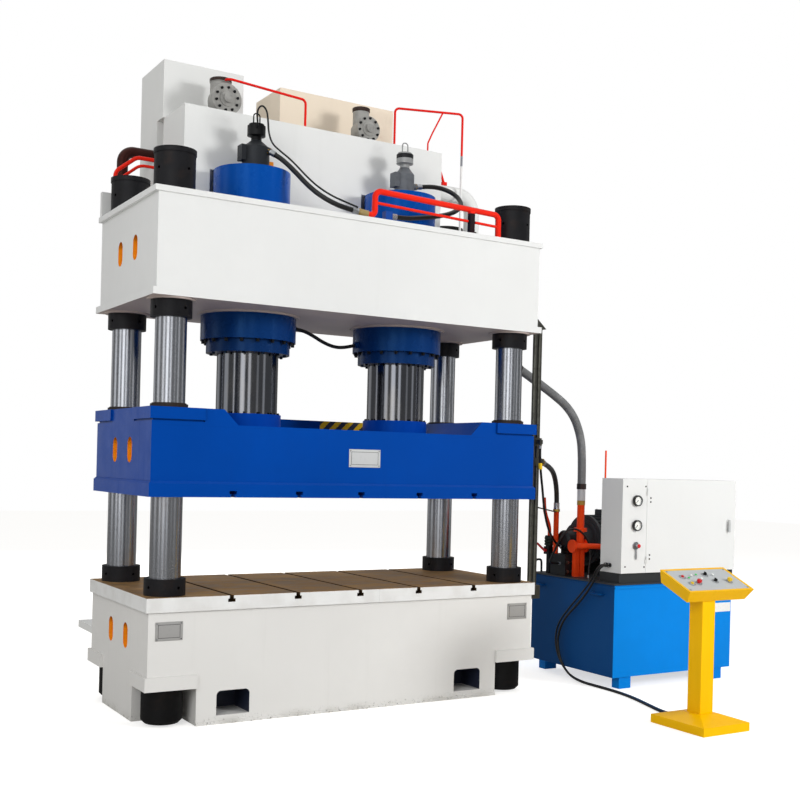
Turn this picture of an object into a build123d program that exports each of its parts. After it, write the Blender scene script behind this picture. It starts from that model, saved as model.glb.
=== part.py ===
from build123d import *
from math import cos, radians, sin, tan
import os

os.makedirs("parts", exist_ok=True)

# Table and bed
table_length = 3300
table_width = 1360
table_height = 900
table_thickness = 100
table_seam = 168
seam_gap = 1
bed_length = 3260
bed_width = 1330
bed_foot_length = 2550
bed_side_foot_width = 696
shelf_bottom = 265
shelf_height = 95
shelf_proud = 22
foot_strip_height = 22
foot_strip_proud = 10
pocket_width = 250
pocket_floor = 60
pocket_height = 172
pocket_depth = 260
pocket_corner = 34
pocket_place = 1000
step_length = 360
step_reach = 380
step_top = 530
step_thickness = 55

# T-slots, the same in table and slide
slot_count = 5
slot_pitch = 517
slot_neck = 32
slot_neck_depth = 22
slot_head = 56
slot_head_depth = 24

# Side slots, the same in bed, slide and crown
window_width = 104
window_height = 182
window_spacing = 346
window_depth = 60
bed_window_height = 582
slide_window_height = 1906
crown_window_height = 3350

# Columns and nuts
column_radius = 110
column_pitch_x = 2926
column_pitch_y = 996
column_gap = 0.6
column_end_inset = 18
column_end_chamfer = 8
groove_width = 5
groove_depth = 2.5
groove_drops = (52, 100)
nut_radius = 144
nut_gap = 0.2
clamp_nut_height = 118
foot_nut_height = 248
foot_nut_chamfer = 24
top_nut_height = 290
top_nut_rim = 5
top_nut_rim_height = 34
tommy_radius = 11
tommy_depth = 24
tommy_count = 4
tommy_turn = 22

# Crown
crown_bottom = 2960
crown_height = 743
crown_length = 3258
crown_width = 1316
crown_bottom_plate = 50
crown_bottom_proud = 28
crown_bottom_side_proud = 20
crown_top_plate = 40
crown_top_proud = 26
crown_top_side_proud = 12
pad_thickness = 12
pad_proud = 26
platform_left = -1190
platform_right = 1000
platform_reach = 1170
platform_thickness = 60
corner_box = (80, 44, 197)
corner_box_inset = 10

# Cylinders and rams
cylinder_pitch = 1334
flange_radius = 365
flange_height = 190
barrel_radius = 295
barrel_top = 4063
barrel_head = 103
barrel_gap = 1
gland_radius = 320
gland_height = 95
gland_bolt_count = 12
gland_bolt_radius = 13
gland_bolt_circle = 282
gland_bolt_depth = 14
ram_radius = 235
ram_gap = 0.3
piston_radius = 244.7
piston_gap = 0.3
piston_low = 3315
piston_height = 110
ring_radius = 265
ring_height = 122
cable_boss_radius = 26
cable_boss_length = 44

# Slide
slide_bottom = 1586
slide_plate = 110
slide_plate_length = 3296
slide_plate_width = 1316
slide_bevel = 17
slide_length = 3266
slide_width = 1280
slide_top = 2204
slide_wall = 46
slide_rim = 2095
slide_deck = 2080
slide_dip = 2000
slide_dip_top = 2214
corner_pad_length = 398
corner_pad_width = 400
corner_pad_height = 83
corner_pad_proud = 15
corner_groove_height = 12
corner_groove_depth = 12
bush_radius = 128
bush_gap = 0.1
bush_length = 200
bush_seat_gap = 0.1
slide_bore_gap = 6
wiper_radius = 131
wiper_height = 24
wiper_lip_radius = 120
wiper_lip_height = 7
stop_bar_length = 460
stop_bar_low = 1545
stop_bar_top = 2178
stop_bar_thickness = 36
stop_bar_place = 300
stop_bar_window = 120

# Filling tank and boxes on the crown
tank_length = 2334
tank_front = 150
tank_rear = 633
tank_top = 4555
tank_notch_gap = 30
tall_box_left = -1185
tall_box_length = 680
tall_box_front = 600
tall_box_rear = 1150
tall_box_top = 5018
tall_box_lower_front = 739
low_box_left = -150
low_box_length = 1110
low_box_front = 650
low_box_top = 5008
box_gap = 0.5
bend_radius = 68
bend_height = 4240
bend_depth = 250
bend_reach = 1560
bend_curve = 150
valve_places = (-790, 490)
valve_depth = 390
valve_flange_radius = 122
valve_flange_height = 22
valve_neck_radius = 74
valve_disc_height = 4700
valve_disc_radius = 112
valve_disc_thickness = 26
valve_disc_reach = 118
valve_body_radius = 96
valve_stub_radius = 84
valve_stub_top = 4878
valve_rim = 5
valve_rim_height = 30
rail_radius = 10
branch_rail_radius = 7
rail_boss_radius = 18
rail_boss_length = 110
rail_curve = 38
left_rail_route = ((-790, 280, 4838), (-790, 236, 4838), (-112, 236, 4796), (-112, 236, 4555))
right_rail_route = ((800, 345, 4555), (800, 345, 4930), (1367, 140, 4926), (1367, 140, 3703))
branch_rail_route = ((1200, 200, 4926), (1115, 230, 4740), (1080, 245, 4650), (1080, 245, 4555))

# Prefill valves
prefill_depth = -60
prefill_radii = {"left": 104, "right": 82}
prefill_flange_proud = 12
prefill_flange_height = 26
prefill_body_height = 180
prefill_neck_radius = 40
prefill_neck_low = 236
prefill_neck_high = 262
prefill_head_radius = 70
prefill_head_low = 272
prefill_head_height = 76
prefill_cap_radius = 58
prefill_cap_height = 14
prefill_block = (62, 84, 118)
prefill_block_height = 127
prefill_port_radius = 26
prefill_port_length = 66
prefill_loop_radius = 5
prefill_loop_width = 52
prefill_loop_height = 84

# Pipes on the crown
front_pipe_radius = 23
front_pipe_depth = -590
front_pipe_route = ((20, 3738), (92, 3738), (92, 3928), (1252, 3896), (1252, 3703))
front_pipe_bends = (40, 52, 48)
thin_pipe_radius = 11
thin_pipe_start = (92, 3836)
thin_pipe_end = (1252, 3800)
pipe_coupling_radius = 26
pipe_stand = (44, 40)
pipe_stand_place = 984
pipe_stand_foot = (64, 60, 22)
rear_pipe_radius = 16
rear_pipe_route = ((-1167, 560, 4190), (-1400, 560, 4190), (-1540, 650, 4080), (-1540, 650, 3703))
inner_pipe_radius = 12
inner_pipe_route = ((-1167, 480, 4112), (-1400, 480, 4112), (-1500, 657, 4030), (-1500, 657, 3703))
rear_pipe_curve = 70
loop_pipe_radius = 44
loop_pipe_route = ((-1185, 800, 4290), (-1440, 800, 4290), (-1440, 800, 3900), (-1185, 800, 3900))
loop_pipe_curve = 90
port_pipe_radius = 40
port_pipe_run = 186
port_pipe_curve = 90
port_flange_radius = 66
port_flange_height = 22

# Pipes at the side of the press
side_pipe_depth = -555
side_pipe_places = (1690, 1738)
side_pipe_radii = (20, 19)
side_bracket_width = 90
side_bracket_right = 1768
side_foot_low = 815
side_foot_high = 865
side_head_high = 3130
side_tee_levels = (2066, 1897)
side_tee_height = 64
pilot_tee = (30, 36)
fitting_proud = 4

# Power unit
oil_tank_left = 2302
oil_tank_length = 1395
oil_tank_front = -925
oil_tank_depth = 1110
oil_tank_low = 100
oil_tank_high = 878
leg_width = 130
leg_inset = 90
leg_depth = 90
rim_height = 18
rim_proud = 8
rim_drop = 14
lid_thickness = 12
lid_proud = 12
lug_radius = 11
lug_span = 120
lug_reach = 42
motor_depth = -150
motor_height = 1200
motor_left = 2622
motor_length = 560
motor_radius = 205
fin_count = 28
fin_height = 26
fin_thickness = 7
motor_shield = 26
fan_cover_length = 150
motor_foot_pitch = 300
motor_foot_width = 70
terminal_box = (190, 150, 120)
bell_length = 110
bell_radius = 150
bell_flange = 18
bell_flange_radius = 195
pump_length = 150
pump_radius = 92
manifold_left = 2312
manifold_length = 190
manifold_front = -262
manifold_depth = 205
manifold_height = 190
header_depth = -309
header_height = 1160
header_radius = 36
header_left = 2345
header_right = 2504
header_flange_radius = 58
header_flange = 16
header_post = 44
riser_place = 2440
riser_radius = 33
riser_top = 1526
riser_flange_height = 1290
riser_flange_radius = 58
coupling_radius = 36
coupling_top = 1667
collar_radius = 42
collar_top = 1716
return_riser_place = (2335, -97)
return_riser_radius = 24
return_riser_top = 1480
mast_place = (2530, -520)
mast_radius = 8
mast_top = 2015
ball_valve = (70, 70, 70)
ball_valve_place = (2372, 40)
ball_valve_height = 1062
ball_stub_radius = 24
filter_profile = ((0, 0), (32, 0), (32, 12), (44, 12), (44, 28), (38, 34), (44, 40), (44, 56),
                  (38, 62), (44, 68), (44, 84), (36, 100), (0, 100))
lever_length = 138
lever_width = 22
lever_thickness = 6
lever_boss_length = 22
lever_tilt = 28
lever_boss_radius = 13
lever_gap = 0.5

# Electric cabinet
cabinet_left = 2368
cabinet_length = 1358
cabinet_front = -905
cabinet_rear = -665
cabinet_top = 1775
plinth_height = 85
sheet = 5
gauge_bay = 280
door_thickness = 20
door_gap = 3
door_ledge = 16
hinge_radius = 7
hinge_length = 60
hinge_inset = 110
hinge_gap = 0.3
cabinet_outlet_radius = 15
cabinet_outlet_length = 22
handle_place = (3634, 1412)
handle_length = 112
handle_width = 20
handle_thickness = 14
handle_boss_radius = 16
handle_boss_height = 10
handle_gap = 0.4
gauge_radius = 42
gauge_depth = 26
gauge_rim = 4
gauge_recess = 9
gauge_place = 2526
gauge_heights = (1590, 1380)
needle_length = 30
needle_width = 3.6
needle_thickness = 1.2
needle_hub = 4
needle_gap = 0.4
needle_turn = 225
knob_height = 1208
knob_radius = 15
knob_length = 22
knob_stem = 5
knob_seat_radius = 12
knob_seat_length = 16

# Control stand
base_size = (460, 520)
base_place = (1995, -2200)
base_thickness = 62
plinth_rise = 44
post_size = 126
head_size = (650, 330)
head_lower_size = (590, 282)
head_depth = 96
head_centre = (2060, -2180, 1064)
head_tilt = 24
panel_size = (606, 288)
panel_gap = 0.4
panel_thickness = 3
panel_recess = 4
head_cavity = (580, 262)
head_cavity_depth = 60
bezel_radius = 17
bezel_height = 5
control_gap = 0.3
stem_radius = 11
stem_depth = 12
button_rise = 9
mushroom_radius = 20
mushroom_rise = 12
mushroom_height = 13
selector_radius = 14
selector_rise = 8
selector_grip = (7, 24, 12)
red_place = (-211, 46)
yellow_place = (-202, -50)
stop_place = (-132, -46)
selector_left_place = (30, 62)
selector_right_place = (52, -30)
ready_place = (184, -42)
lamp_places = ((-172, 20), (-118, 52), (-66, 60), (-60, 4), (100, 52))
lamp_radius = 11
lamp_height = 9

# Hoses and cables: control points of their routes
prefill_hose_radius = 19
prefill_hose_left_route = ((-586, -150, 4206), (-545, -200, 4170), (-500, -262, 4110), (-455, -330, 4035),
                           (-408, -400, 3950), (-348, -470, 3870), (-262, -533, 3804), (-160, -575, 3763),
                           (-50, -590, 3748))
prefill_hose_right_route = ((785, -60, 4163), (862, -60, 4177), (946, -69, 4187), (1032, -96, 4177),
                            (1092, -148, 4140), (1112, -218, 4080), (1088, -288, 4015), (1022, -344, 3955),
                            (926, -390, 3904), (808, -428, 3862), (674, -460, 3826), (536, -490, 3796),
                            (400, -530, 3766), (270, -530, 3766))
hose_block = (60, 56, 62)
crown_cable_radius = 14
crown_cable_route = ((-272, 0, 2898), (-200, 3, 2890), (-110, 8, 2858), (-10, 8, 2808),
                     (90, 3, 2778), (185, -2, 2784), (266, 0, 2806))
main_hose_radius = 37
main_hose_route = ((1760, -261, 2692), (2055, -280, 2534), (2310, -296, 2370), (2420, -305, 2150),
                   (2440, -309, 1930), (2440, -309, 1716))
return_hose_radius = 22
return_hose_route = ((1790, -555, 1897), (1913, -456, 1877), (2042, -347, 1853), (2154, -252, 1822),
                     (2243, -176, 1765), (2304, -124, 1682), (2335, -97, 1580), (2335, -97, 1480))
pilot_hose_radius = 10
pilot_hose_route = ((1714, -625, 2034), (1714, -625, 1926), (1738, -612, 1800), (1786, -580, 1660),
                    (1850, -520, 1530), (1940, -440, 1410), (2050, -345, 1310), (2170, -255, 1230),
                    (2270, -190, 1170), (2338, -165, 1146))
stand_cable_radius = 10
stand_cable_one_route = ((2352, -790, 1035), (2310, -790, 1038), (2270, -786, 1022), (2245, -776, 985),
                         (2236, -754, 925), (2233, -706, 850), (2231, -620, 750), (2230, -510, 650),
                         (2230, -400, 560), (2231, -318, 455), (2233, -280, 335), (2236, -300, 215),
                         (2240, -360, 110), (2244, -460, 40), (2250, -600, 14), (2256, -780, 11),
                         (2254, -960, 11), (2236, -1140, 11), (2196, -1310, 11), (2142, -1480, 11),
                         (2086, -1650, 11), (2040, -1800, 12), (2016, -1920, 22))
stand_cable_two_radius = 8
stand_cable_two_route = ((2352, -748, 1035), (2316, -748, 1038), (2284, -745, 1024), (2263, -737, 995),
                         (2256, -716, 948), (2253, -668, 880), (2253, -580, 790), (2254, -470, 690),
                         (2256, -360, 590), (2256, -262, 480), (2254, -222, 360), (2254, -244, 230),
                         (2260, -310, 120), (2266, -420, 42), (2276, -570, 12), (2286, -760, 9),
                         (2284, -950, 9), (2264, -1130, 9), (2226, -1300, 9), (2172, -1470, 9),
                         (2116, -1640, 9), (2076, -1790, 11), (2058, -1920, 20))

column_places = [
    (side_x * column_pitch_x / 2, side_y * column_pitch_y / 2) for side_x in (-1, 1) for side_y in (-1, 1)
]
cylinder_places = {"left": -cylinder_pitch / 2, "right": cylinder_pitch / 2}
crown_top = crown_bottom + crown_height
crown_face = crown_bottom - pad_thickness
flange_low = crown_face - flange_height
gland_low = flange_low - gland_height
bed_top = table_height - table_thickness
lid_top = oil_tank_high + lid_thickness


def save(piece, name):
    """Label one finished piece and write it."""
    piece.label = name
    export_step(piece, f"parts/{name}.step")


def upright(x, y, z):
    """Plane across a vertical axis."""
    return Plane((x, y, z))


def facing_front(x, y, z):
    """Plane whose normal points at the operator."""
    return Plane((x, y, z), x_dir=(1, 0, 0), z_dir=(0, -1, 0))


def facing_right(x, y, z):
    """Plane whose normal points along the press."""
    return Plane((x, y, z), x_dir=(0, 1, 0), z_dir=(1, 0, 0))


def turned(profile, base):
    """Turn a profile of radius and height about the normal of the base plane."""
    with BuildSketch(Plane(base.origin, x_dir=base.x_dir, z_dir=-base.y_dir)) as section:
        Polygon(*profile, align=None)
    revolve(section.sketch, axis=Axis(base.origin, base.z_dir))


def ring(outer, inner, height):
    """Profile of a plain ring that stands on its base plane."""
    return ((inner, 0), (outer, 0), (outer, height), (inner, height))


def tube(points, radius, curves):
    """Round pipe or hose along straight runs joined by tangent arcs."""
    with BuildLine() as route:
        FilletPolyline(*points, radius=curves)
    first_run = Vector(*points[1]) - Vector(*points[0])
    with BuildSketch(Plane(points[0], z_dir=first_run)) as section:
        Circle(radius)
    sweep(section.sketch, path=route.wires()[0])


def rod(start, end, radius):
    """Straight round bar or pipe from one point to another."""
    way = Vector(*end) - Vector(*start)
    with BuildSketch(Plane(start, z_dir=way)) as section:
        Circle(radius)
    extrude(section.sketch, amount=way.length)


def fitting(tip, inner, radius, length):
    """Round end piece that a hose butts against, in line with the hose's run at that end."""
    outward = (Vector(*tip) - Vector(*inner)).normalized()
    rod(tip, Vector(*tip) + outward * length, radius)


def hose_curves(points):
    """Radius of each arc: as large as its two runs allow."""
    spots = [Vector(*point) for point in points]
    radii = []
    for before, corner, after in zip(spots, spots[1:], spots[2:]):
        turn = (corner - before).get_angle(after - corner)
        shorter = min((corner - before).length, (after - corner).length)
        radii.append(0.45 * shorter / tan(radians(turn / 2)))
    return radii


def hose(points, radius, name):
    """One hose or cable in a node of its own."""
    radii = hose_curves(points)
    with BuildPart() as cord:
        tube(points, radius, radii)
    print(name, "radii", [round(value) for value in radii], "least", round(min(radii) / radius / 2, 1), "diameters")
    save(cord.part, name)


def tee_slots(face, reach, way):
    """Cut the T-slots from front to back; way is the side of the face on which the slots open."""
    deep = -way * (slot_neck_depth + slot_head_depth)
    neck_end = -way * slot_neck_depth
    half_neck = slot_neck / 2
    half_head = slot_head / 2
    outline = ((-half_neck, way), (half_neck, way), (half_neck, neck_end), (half_head, neck_end),
               (half_head, deep), (-half_head, deep), (-half_head, neck_end), (-half_neck, neck_end))
    with BuildSketch(face) as section:
        with GridLocations(slot_pitch, 1, slot_count, 1):
            Polygon(*outline, align=None)
    extrude(section.sketch, amount=-reach, mode=Mode.SUBTRACT)


def side_windows(half_length, height):
    """Cut the two upright slots into each end face."""
    for side in (-1, 1):
        with BuildSketch(Plane((side * half_length, 0, height), x_dir=(0, side, 0), z_dir=(side, 0, 0))) as section:
            with GridLocations(window_spacing, 1, 2, 1):
                SlotOverall(window_height, window_width, rotation=90)
        extrude(section.sketch, amount=-window_depth, mode=Mode.SUBTRACT)


def nut_rings(level, height, radius=nut_radius):
    """Round nuts on all four columns, standing at one level."""
    with BuildSketch(Plane.XY.offset(level)) as section:
        with Locations(*column_places):
            Circle(radius)
            Circle(column_radius + nut_gap, mode=Mode.SUBTRACT)
    extrude(section.sketch, amount=height)


def tommy_holes(level):
    """Radial holes for the tommy bar in the nuts at one level."""
    for x, y in column_places:
        for index in range(tommy_count):
            angle = radians(tommy_turn + index * 360 / tommy_count)
            outward = Vector(cos(angle), sin(angle), 0)
            with BuildSketch(Plane(Vector(x, y, level) + outward * nut_radius, z_dir=outward)) as section:
                Circle(tommy_radius)
            extrude(section.sketch, amount=-tommy_depth, mode=Mode.SUBTRACT)


# Bed: foot blocks, corner shelves, body, pockets and slots
corner_length = (bed_length - bed_foot_length) / 2
corner_width = (bed_width - bed_side_foot_width) / 2
with BuildPart() as bed_frame:
    with BuildSketch():
        Rectangle(bed_foot_length, bed_width)
        Rectangle(bed_length, bed_side_foot_width)
    extrude(amount=shelf_bottom)
    with BuildSketch():
        Rectangle(bed_foot_length, bed_width + 2 * foot_strip_proud)
    extrude(amount=foot_strip_height)
    with BuildSketch(Plane.XY.offset(shelf_bottom)):
        Rectangle(bed_length, bed_width)
    extrude(amount=bed_top - shelf_bottom)
    with BuildSketch(Plane.XY.offset(shelf_bottom)):
        with GridLocations(bed_length - corner_length + shelf_proud, bed_width - corner_width + shelf_proud, 2, 2):
            Rectangle(corner_length + shelf_proud, corner_width + shelf_proud)
    extrude(amount=shelf_height)
    with BuildSketch(Plane.XY):
        with Locations(*column_places):
            Circle(column_radius + column_gap)
    extrude(amount=bed_top, mode=Mode.SUBTRACT)
    for face_side in (-1, 1):
        face_plane = Plane((0, face_side * bed_width / 2, pocket_floor), x_dir=(-face_side, 0, 0),
                           z_dir=(0, face_side, 0))
        with BuildSketch(face_plane) as pockets:
            with GridLocations(2 * pocket_place, 1, 2, 1):
                with Locations((0, pocket_height / 2)):
                    Rectangle(pocket_width, pocket_height)
            fillet(pockets.vertices().group_by(Axis.Y)[-1], pocket_corner)
        extrude(amount=-pocket_depth, mode=Mode.SUBTRACT)
    side_windows(bed_length / 2, bed_window_height)
save(bed_frame.part, "bed_frame")

with BuildPart() as bed_step:
    with BuildSketch(Plane.XY.offset(step_top - step_thickness)):
        with Locations((-(bed_length - step_length) / 2, (bed_width + step_reach) / 2)):
            Rectangle(step_length, step_reach)
    extrude(amount=step_thickness)
save(bed_step.part, "bed_step")

# Table: two plates with T-slots, bored for the columns
with BuildPart() as bolster_plates:
    with BuildSketch(Plane.XY.offset(bed_top)):
        Rectangle(table_length, table_width)
        with Locations((table_seam, 0)):
            Rectangle(seam_gap, table_width, mode=Mode.SUBTRACT)
        with Locations(*column_places):
            Circle(column_radius + column_gap, mode=Mode.SUBTRACT)
    extrude(amount=table_thickness)
    tee_slots(facing_front(0, -table_width / 2, table_height), table_width, 1)
save(bolster_plates.part, "bolster_plates")

# Nuts
with BuildPart() as clamp_nuts:
    for nut_level in (table_height, crown_face - clamp_nut_height):
        nut_rings(nut_level, clamp_nut_height)
    for nut_level in (table_height, crown_face - clamp_nut_height):
        tommy_holes(nut_level + clamp_nut_height / 2)
save(clamp_nuts.part, "clamp_nuts")

foot_nut_low = shelf_bottom - foot_nut_height
with BuildPart() as foot_nuts:
    nut_rings(foot_nut_low, foot_nut_height)
    chamfer(foot_nuts.edges().group_by(Axis.Z)[0].filter_by(lambda rim: rim.radius > column_radius + 1),
            foot_nut_chamfer)
save(foot_nuts.part, "foot_nuts")

with BuildPart() as top_nuts:
    nut_rings(crown_top, top_nut_height - top_nut_rim_height)
    nut_rings(crown_top + top_nut_height - top_nut_rim_height, top_nut_rim_height, nut_radius + top_nut_rim)
    tommy_holes(crown_top + top_nut_height / 2)
save(top_nuts.part, "top_nuts")

# Columns, from inside the foot nut to inside the top nut
column_low = foot_nut_low + column_end_inset
column_high = crown_top + top_nut_height - column_end_inset
upper_nut_low = crown_face - clamp_nut_height
column_names = ("front_left", "rear_left", "front_right", "rear_right")
for column_name, column_place in zip(column_names, column_places):
    with BuildPart() as column:
        with BuildSketch(Plane.XY.offset(column_low)):
            with Locations(column_place):
                Circle(column_radius)
        extrude(amount=column_high - column_low)
        chamfer(column.edges().filter_by(GeomType.CIRCLE), column_end_chamfer)
        for drop in groove_drops:
            with BuildSketch(Plane.XY.offset(upper_nut_low - drop)):
                with Locations(column_place):
                    Circle(column_radius)
                    Circle(column_radius - groove_depth, mode=Mode.SUBTRACT)
            extrude(amount=groove_width, mode=Mode.SUBTRACT)
    save(column.part, f"column_{column_name}")

# Crown: plates, body, weld pads and corner box, and the platform behind it
with BuildPart() as crown_beam:
    with BuildSketch(Plane.XY.offset(crown_bottom)):
        Rectangle(crown_length + 2 * crown_bottom_proud, crown_width + 2 * crown_bottom_side_proud)
    extrude(amount=crown_bottom_plate)
    with BuildSketch(Plane.XY.offset(crown_bottom + crown_bottom_plate)):
        Rectangle(crown_length, crown_width)
    extrude(amount=crown_height - crown_bottom_plate - crown_top_plate)
    with BuildSketch(Plane.XY.offset(crown_top - crown_top_plate)):
        Rectangle(crown_length + 2 * crown_top_proud, crown_width + 2 * crown_top_side_proud)
    extrude(amount=crown_top_plate)
    with BuildSketch(Plane.XY.offset(crown_face)):
        with Locations(*column_places):
            Circle(nut_radius + pad_proud)
        with Locations(*[(place, 0) for place in cylinder_places.values()]):
            Circle(flange_radius + pad_proud)
    extrude(amount=pad_thickness)
    with BuildSketch(Plane.XY.offset(crown_top)):
        with Locations((-crown_length / 2 - crown_top_proud + corner_box_inset + corner_box[0] / 2,
                        crown_width / 2 + crown_top_side_proud - corner_box[1] / 2)):
            Rectangle(corner_box[0], corner_box[1])
    extrude(amount=corner_box[2])
    with BuildSketch(Plane.XY.offset(crown_face)):
        with Locations(*column_places):
            Circle(column_radius + column_gap)
        with Locations(*[(place, 0) for place in cylinder_places.values()]):
            Circle(barrel_radius + barrel_gap)
    extrude(amount=crown_height + pad_thickness, mode=Mode.SUBTRACT)
    side_windows(crown_length / 2, crown_window_height)
save(crown_beam.part, "crown_beam")

platform_front = crown_width / 2 + crown_top_side_proud
with BuildPart() as rear_platform:
    with BuildSketch(Plane.XY.offset(crown_top - platform_thickness)):
        with Locations(((platform_left + platform_right) / 2, (platform_front + platform_reach) / 2)):
            Rectangle(platform_right - platform_left, platform_reach - platform_front)
    extrude(amount=platform_thickness)
save(rear_platform.part, "rear_platform")

# Cylinders with flange below the crown and closed head above it
bore_radius = piston_radius + piston_gap
barrel_profile = (
    (bore_radius, 0), (flange_radius, 0), (flange_radius, flange_height), (barrel_radius, flange_height),
    (barrel_radius, barrel_top - flange_low), (0, barrel_top - flange_low),
    (0, barrel_top - barrel_head - flange_low), (bore_radius, barrel_top - barrel_head - flange_low),
)
crown_cable_ends = {"left": crown_cable_route[:2], "right": crown_cable_route[:-3:-1]}
for side_name, place in cylinder_places.items():
    cable_tip, cable_inner = crown_cable_ends[side_name]
    with BuildPart() as cylinder:
        turned(barrel_profile, upright(place, 0, flange_low))
        fitting(cable_tip, cable_inner, cable_boss_radius, cable_boss_length)
    save(cylinder.part, f"cylinder_{side_name}")

with BuildPart() as gland_rings:
    for place in cylinder_places.values():
        turned(ring(gland_radius, ram_radius + ram_gap, gland_height), upright(place, 0, gland_low))
        with BuildSketch(Plane.XY.offset(gland_low)):
            with Locations((place, 0)):
                with PolarLocations(gland_bolt_circle, gland_bolt_count):
                    RegularPolygon(gland_bolt_radius, 6)
        extrude(amount=-gland_bolt_depth)
save(gland_rings.part, "gland_rings")

# Rams with their pistons, and the rings that bolt them to the slide
ram_profile = (
    (0, 0), (ram_radius, 0), (ram_radius, piston_low - slide_deck), (piston_radius, piston_low - slide_deck),
    (piston_radius, piston_low + piston_height - slide_deck), (0, piston_low + piston_height - slide_deck),
)
for side_name, place in cylinder_places.items():
    with BuildPart() as ram:
        turned(ram_profile, upright(place, 0, slide_deck))
    save(ram.part, f"ram_{side_name}")

with BuildPart() as ram_rings:
    for place in cylinder_places.values():
        turned(ring(ring_radius, ram_radius + nut_gap, ring_height), upright(place, 0, slide_deck))
save(ram_rings.part, "ram_rings")

# Slide: bevelled plate, body, corner pads, dipped front wall, deck and bores
def dip_outline(floor):
    """Outline of the dip between the corner blocks, open at the top."""
    above = slide_top - slide_bottom + 20
    depth = floor - slide_bottom
    return ((-slide_dip_top / 2, above), (-slide_dip_top / 2, slide_top - slide_bottom), (-slide_dip / 2, depth),
            (slide_dip / 2, depth), (slide_dip_top / 2, slide_top - slide_bottom), (slide_dip_top / 2, above))


with BuildPart() as slide_beam:
    with BuildSketch(Plane.XY.offset(slide_bottom)):
        Rectangle(slide_plate_length, slide_plate_width)
    extrude(amount=slide_plate)
    chamfer(slide_beam.edges().group_by(Axis.Z)[-1], slide_bevel)
    with BuildSketch(Plane.XY.offset(slide_bottom + slide_plate)):
        Rectangle(slide_length, slide_width)
    extrude(amount=slide_top - slide_bottom - slide_plate)
    pad_pitch_x = slide_length + 2 * corner_pad_proud - corner_pad_length
    pad_pitch_y = slide_width + 2 * corner_pad_proud - corner_pad_width
    with BuildSketch(Plane.XY.offset(slide_top - corner_pad_height)):
        with GridLocations(pad_pitch_x, pad_pitch_y, 2, 2):
            Rectangle(corner_pad_length, corner_pad_width)
    extrude(amount=corner_pad_height)
    with BuildSketch(Plane.XY.offset(slide_top - corner_pad_height - corner_groove_height)):
        with GridLocations(pad_pitch_x, pad_pitch_y, 2, 2):
            Rectangle(corner_pad_length, corner_pad_width)
        Rectangle(slide_length - 2 * corner_groove_depth, slide_width - 2 * corner_groove_depth,
                  mode=Mode.SUBTRACT)
    extrude(amount=corner_groove_height, mode=Mode.SUBTRACT)
    with BuildSketch(facing_front(0, -slide_width / 2, slide_bottom)):
        with BuildLine():
            Polyline(*dip_outline(slide_rim), close=True)
        make_face()
    extrude(amount=-slide_wall, mode=Mode.SUBTRACT)
    with BuildSketch(facing_front(0, slide_wall - slide_width / 2, slide_bottom)):
        with BuildLine():
            Polyline(*dip_outline(slide_deck), close=True)
        make_face()
    extrude(amount=2 * slide_wall - slide_width, mode=Mode.SUBTRACT)
    with BuildSketch(Plane.XY.offset(slide_bottom)):
        with Locations(*column_places):
            Circle(column_radius + slide_bore_gap)
    extrude(amount=slide_top - slide_bottom, mode=Mode.SUBTRACT)
    with BuildSketch(Plane.XY.offset(slide_top - bush_length)):
        with Locations(*column_places):
            Circle(bush_radius + bush_seat_gap)
    extrude(amount=bush_length, mode=Mode.SUBTRACT)
    tee_slots(facing_front(0, -slide_plate_width / 2, slide_bottom), slide_plate_width, -1)
    side_windows(slide_length / 2, slide_window_height)
save(slide_beam.part, "slide_beam")

with BuildPart() as slide_bushes:
    for x, y in column_places:
        turned(ring(bush_radius, column_radius + bush_gap, bush_length), upright(x, y, slide_top - bush_length))
save(slide_bushes.part, "slide_bushes")

wiper_profile = (
    (column_radius + ram_gap, 0), (wiper_radius, 0), (wiper_radius, wiper_height), (wiper_lip_radius, wiper_height),
    (wiper_lip_radius, wiper_height + wiper_lip_height), (column_radius + ram_gap, wiper_height + wiper_lip_height),
)
with BuildPart() as slide_wipers:
    for x, y in column_places:
        turned(wiper_profile, upright(x, y, slide_top))
save(slide_wipers.part, "slide_wipers")

with BuildPart() as stop_bar:
    with BuildSketch(facing_front(stop_bar_place, slide_plate_width / 2 + stop_bar_thickness, 0)):
        with Locations((0, (stop_bar_low + stop_bar_top) / 2)):
            Rectangle(stop_bar_length, stop_bar_top - stop_bar_low)
    extrude(amount=stop_bar_thickness)
    with BuildSketch(facing_front(stop_bar_place, slide_plate_width / 2, 0)):
        with Locations((0, (slide_bottom + slide_plate + slide_top - stop_bar_window) / 2)):
            Rectangle(stop_bar_length - stop_bar_window, stop_bar_window)
    extrude(amount=(slide_plate_width - slide_width) / 2)
save(stop_bar.part, "stop_bar")

# Filling tank, notched round the cylinder heads, with its bent outlet
with BuildPart() as filling_tank:
    with BuildSketch(Plane.XY.offset(crown_top)):
        with Locations((0, (tank_front + tank_rear) / 2)):
            Rectangle(tank_length, tank_rear - tank_front)
        with Locations(*[(place, 0) for place in cylinder_places.values()]):
            Circle(barrel_radius + tank_notch_gap, mode=Mode.SUBTRACT)
    extrude(amount=tank_top - crown_top)
    tube(((tank_length / 2 - 20, bend_depth, bend_height), (bend_reach, bend_depth, bend_height),
          (bend_reach, bend_depth, crown_top)), bend_radius, bend_curve)
save(filling_tank.part, "filling_tank")

with BuildPart() as rear_box_tall:
    with BuildSketch(Plane((tall_box_left, 0, 0), x_dir=(0, 1, 0), z_dir=(1, 0, 0))):
        with BuildLine():
            Polyline((tall_box_front, tank_top + box_gap), (tall_box_front, tall_box_top),
                     (tall_box_rear, tall_box_top), (tall_box_rear, crown_top),
                     (tall_box_lower_front, crown_top), (tall_box_lower_front, tank_top + box_gap), close=True)
        make_face()
    extrude(amount=tall_box_length)
save(rear_box_tall.part, "rear_box_tall")

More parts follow.
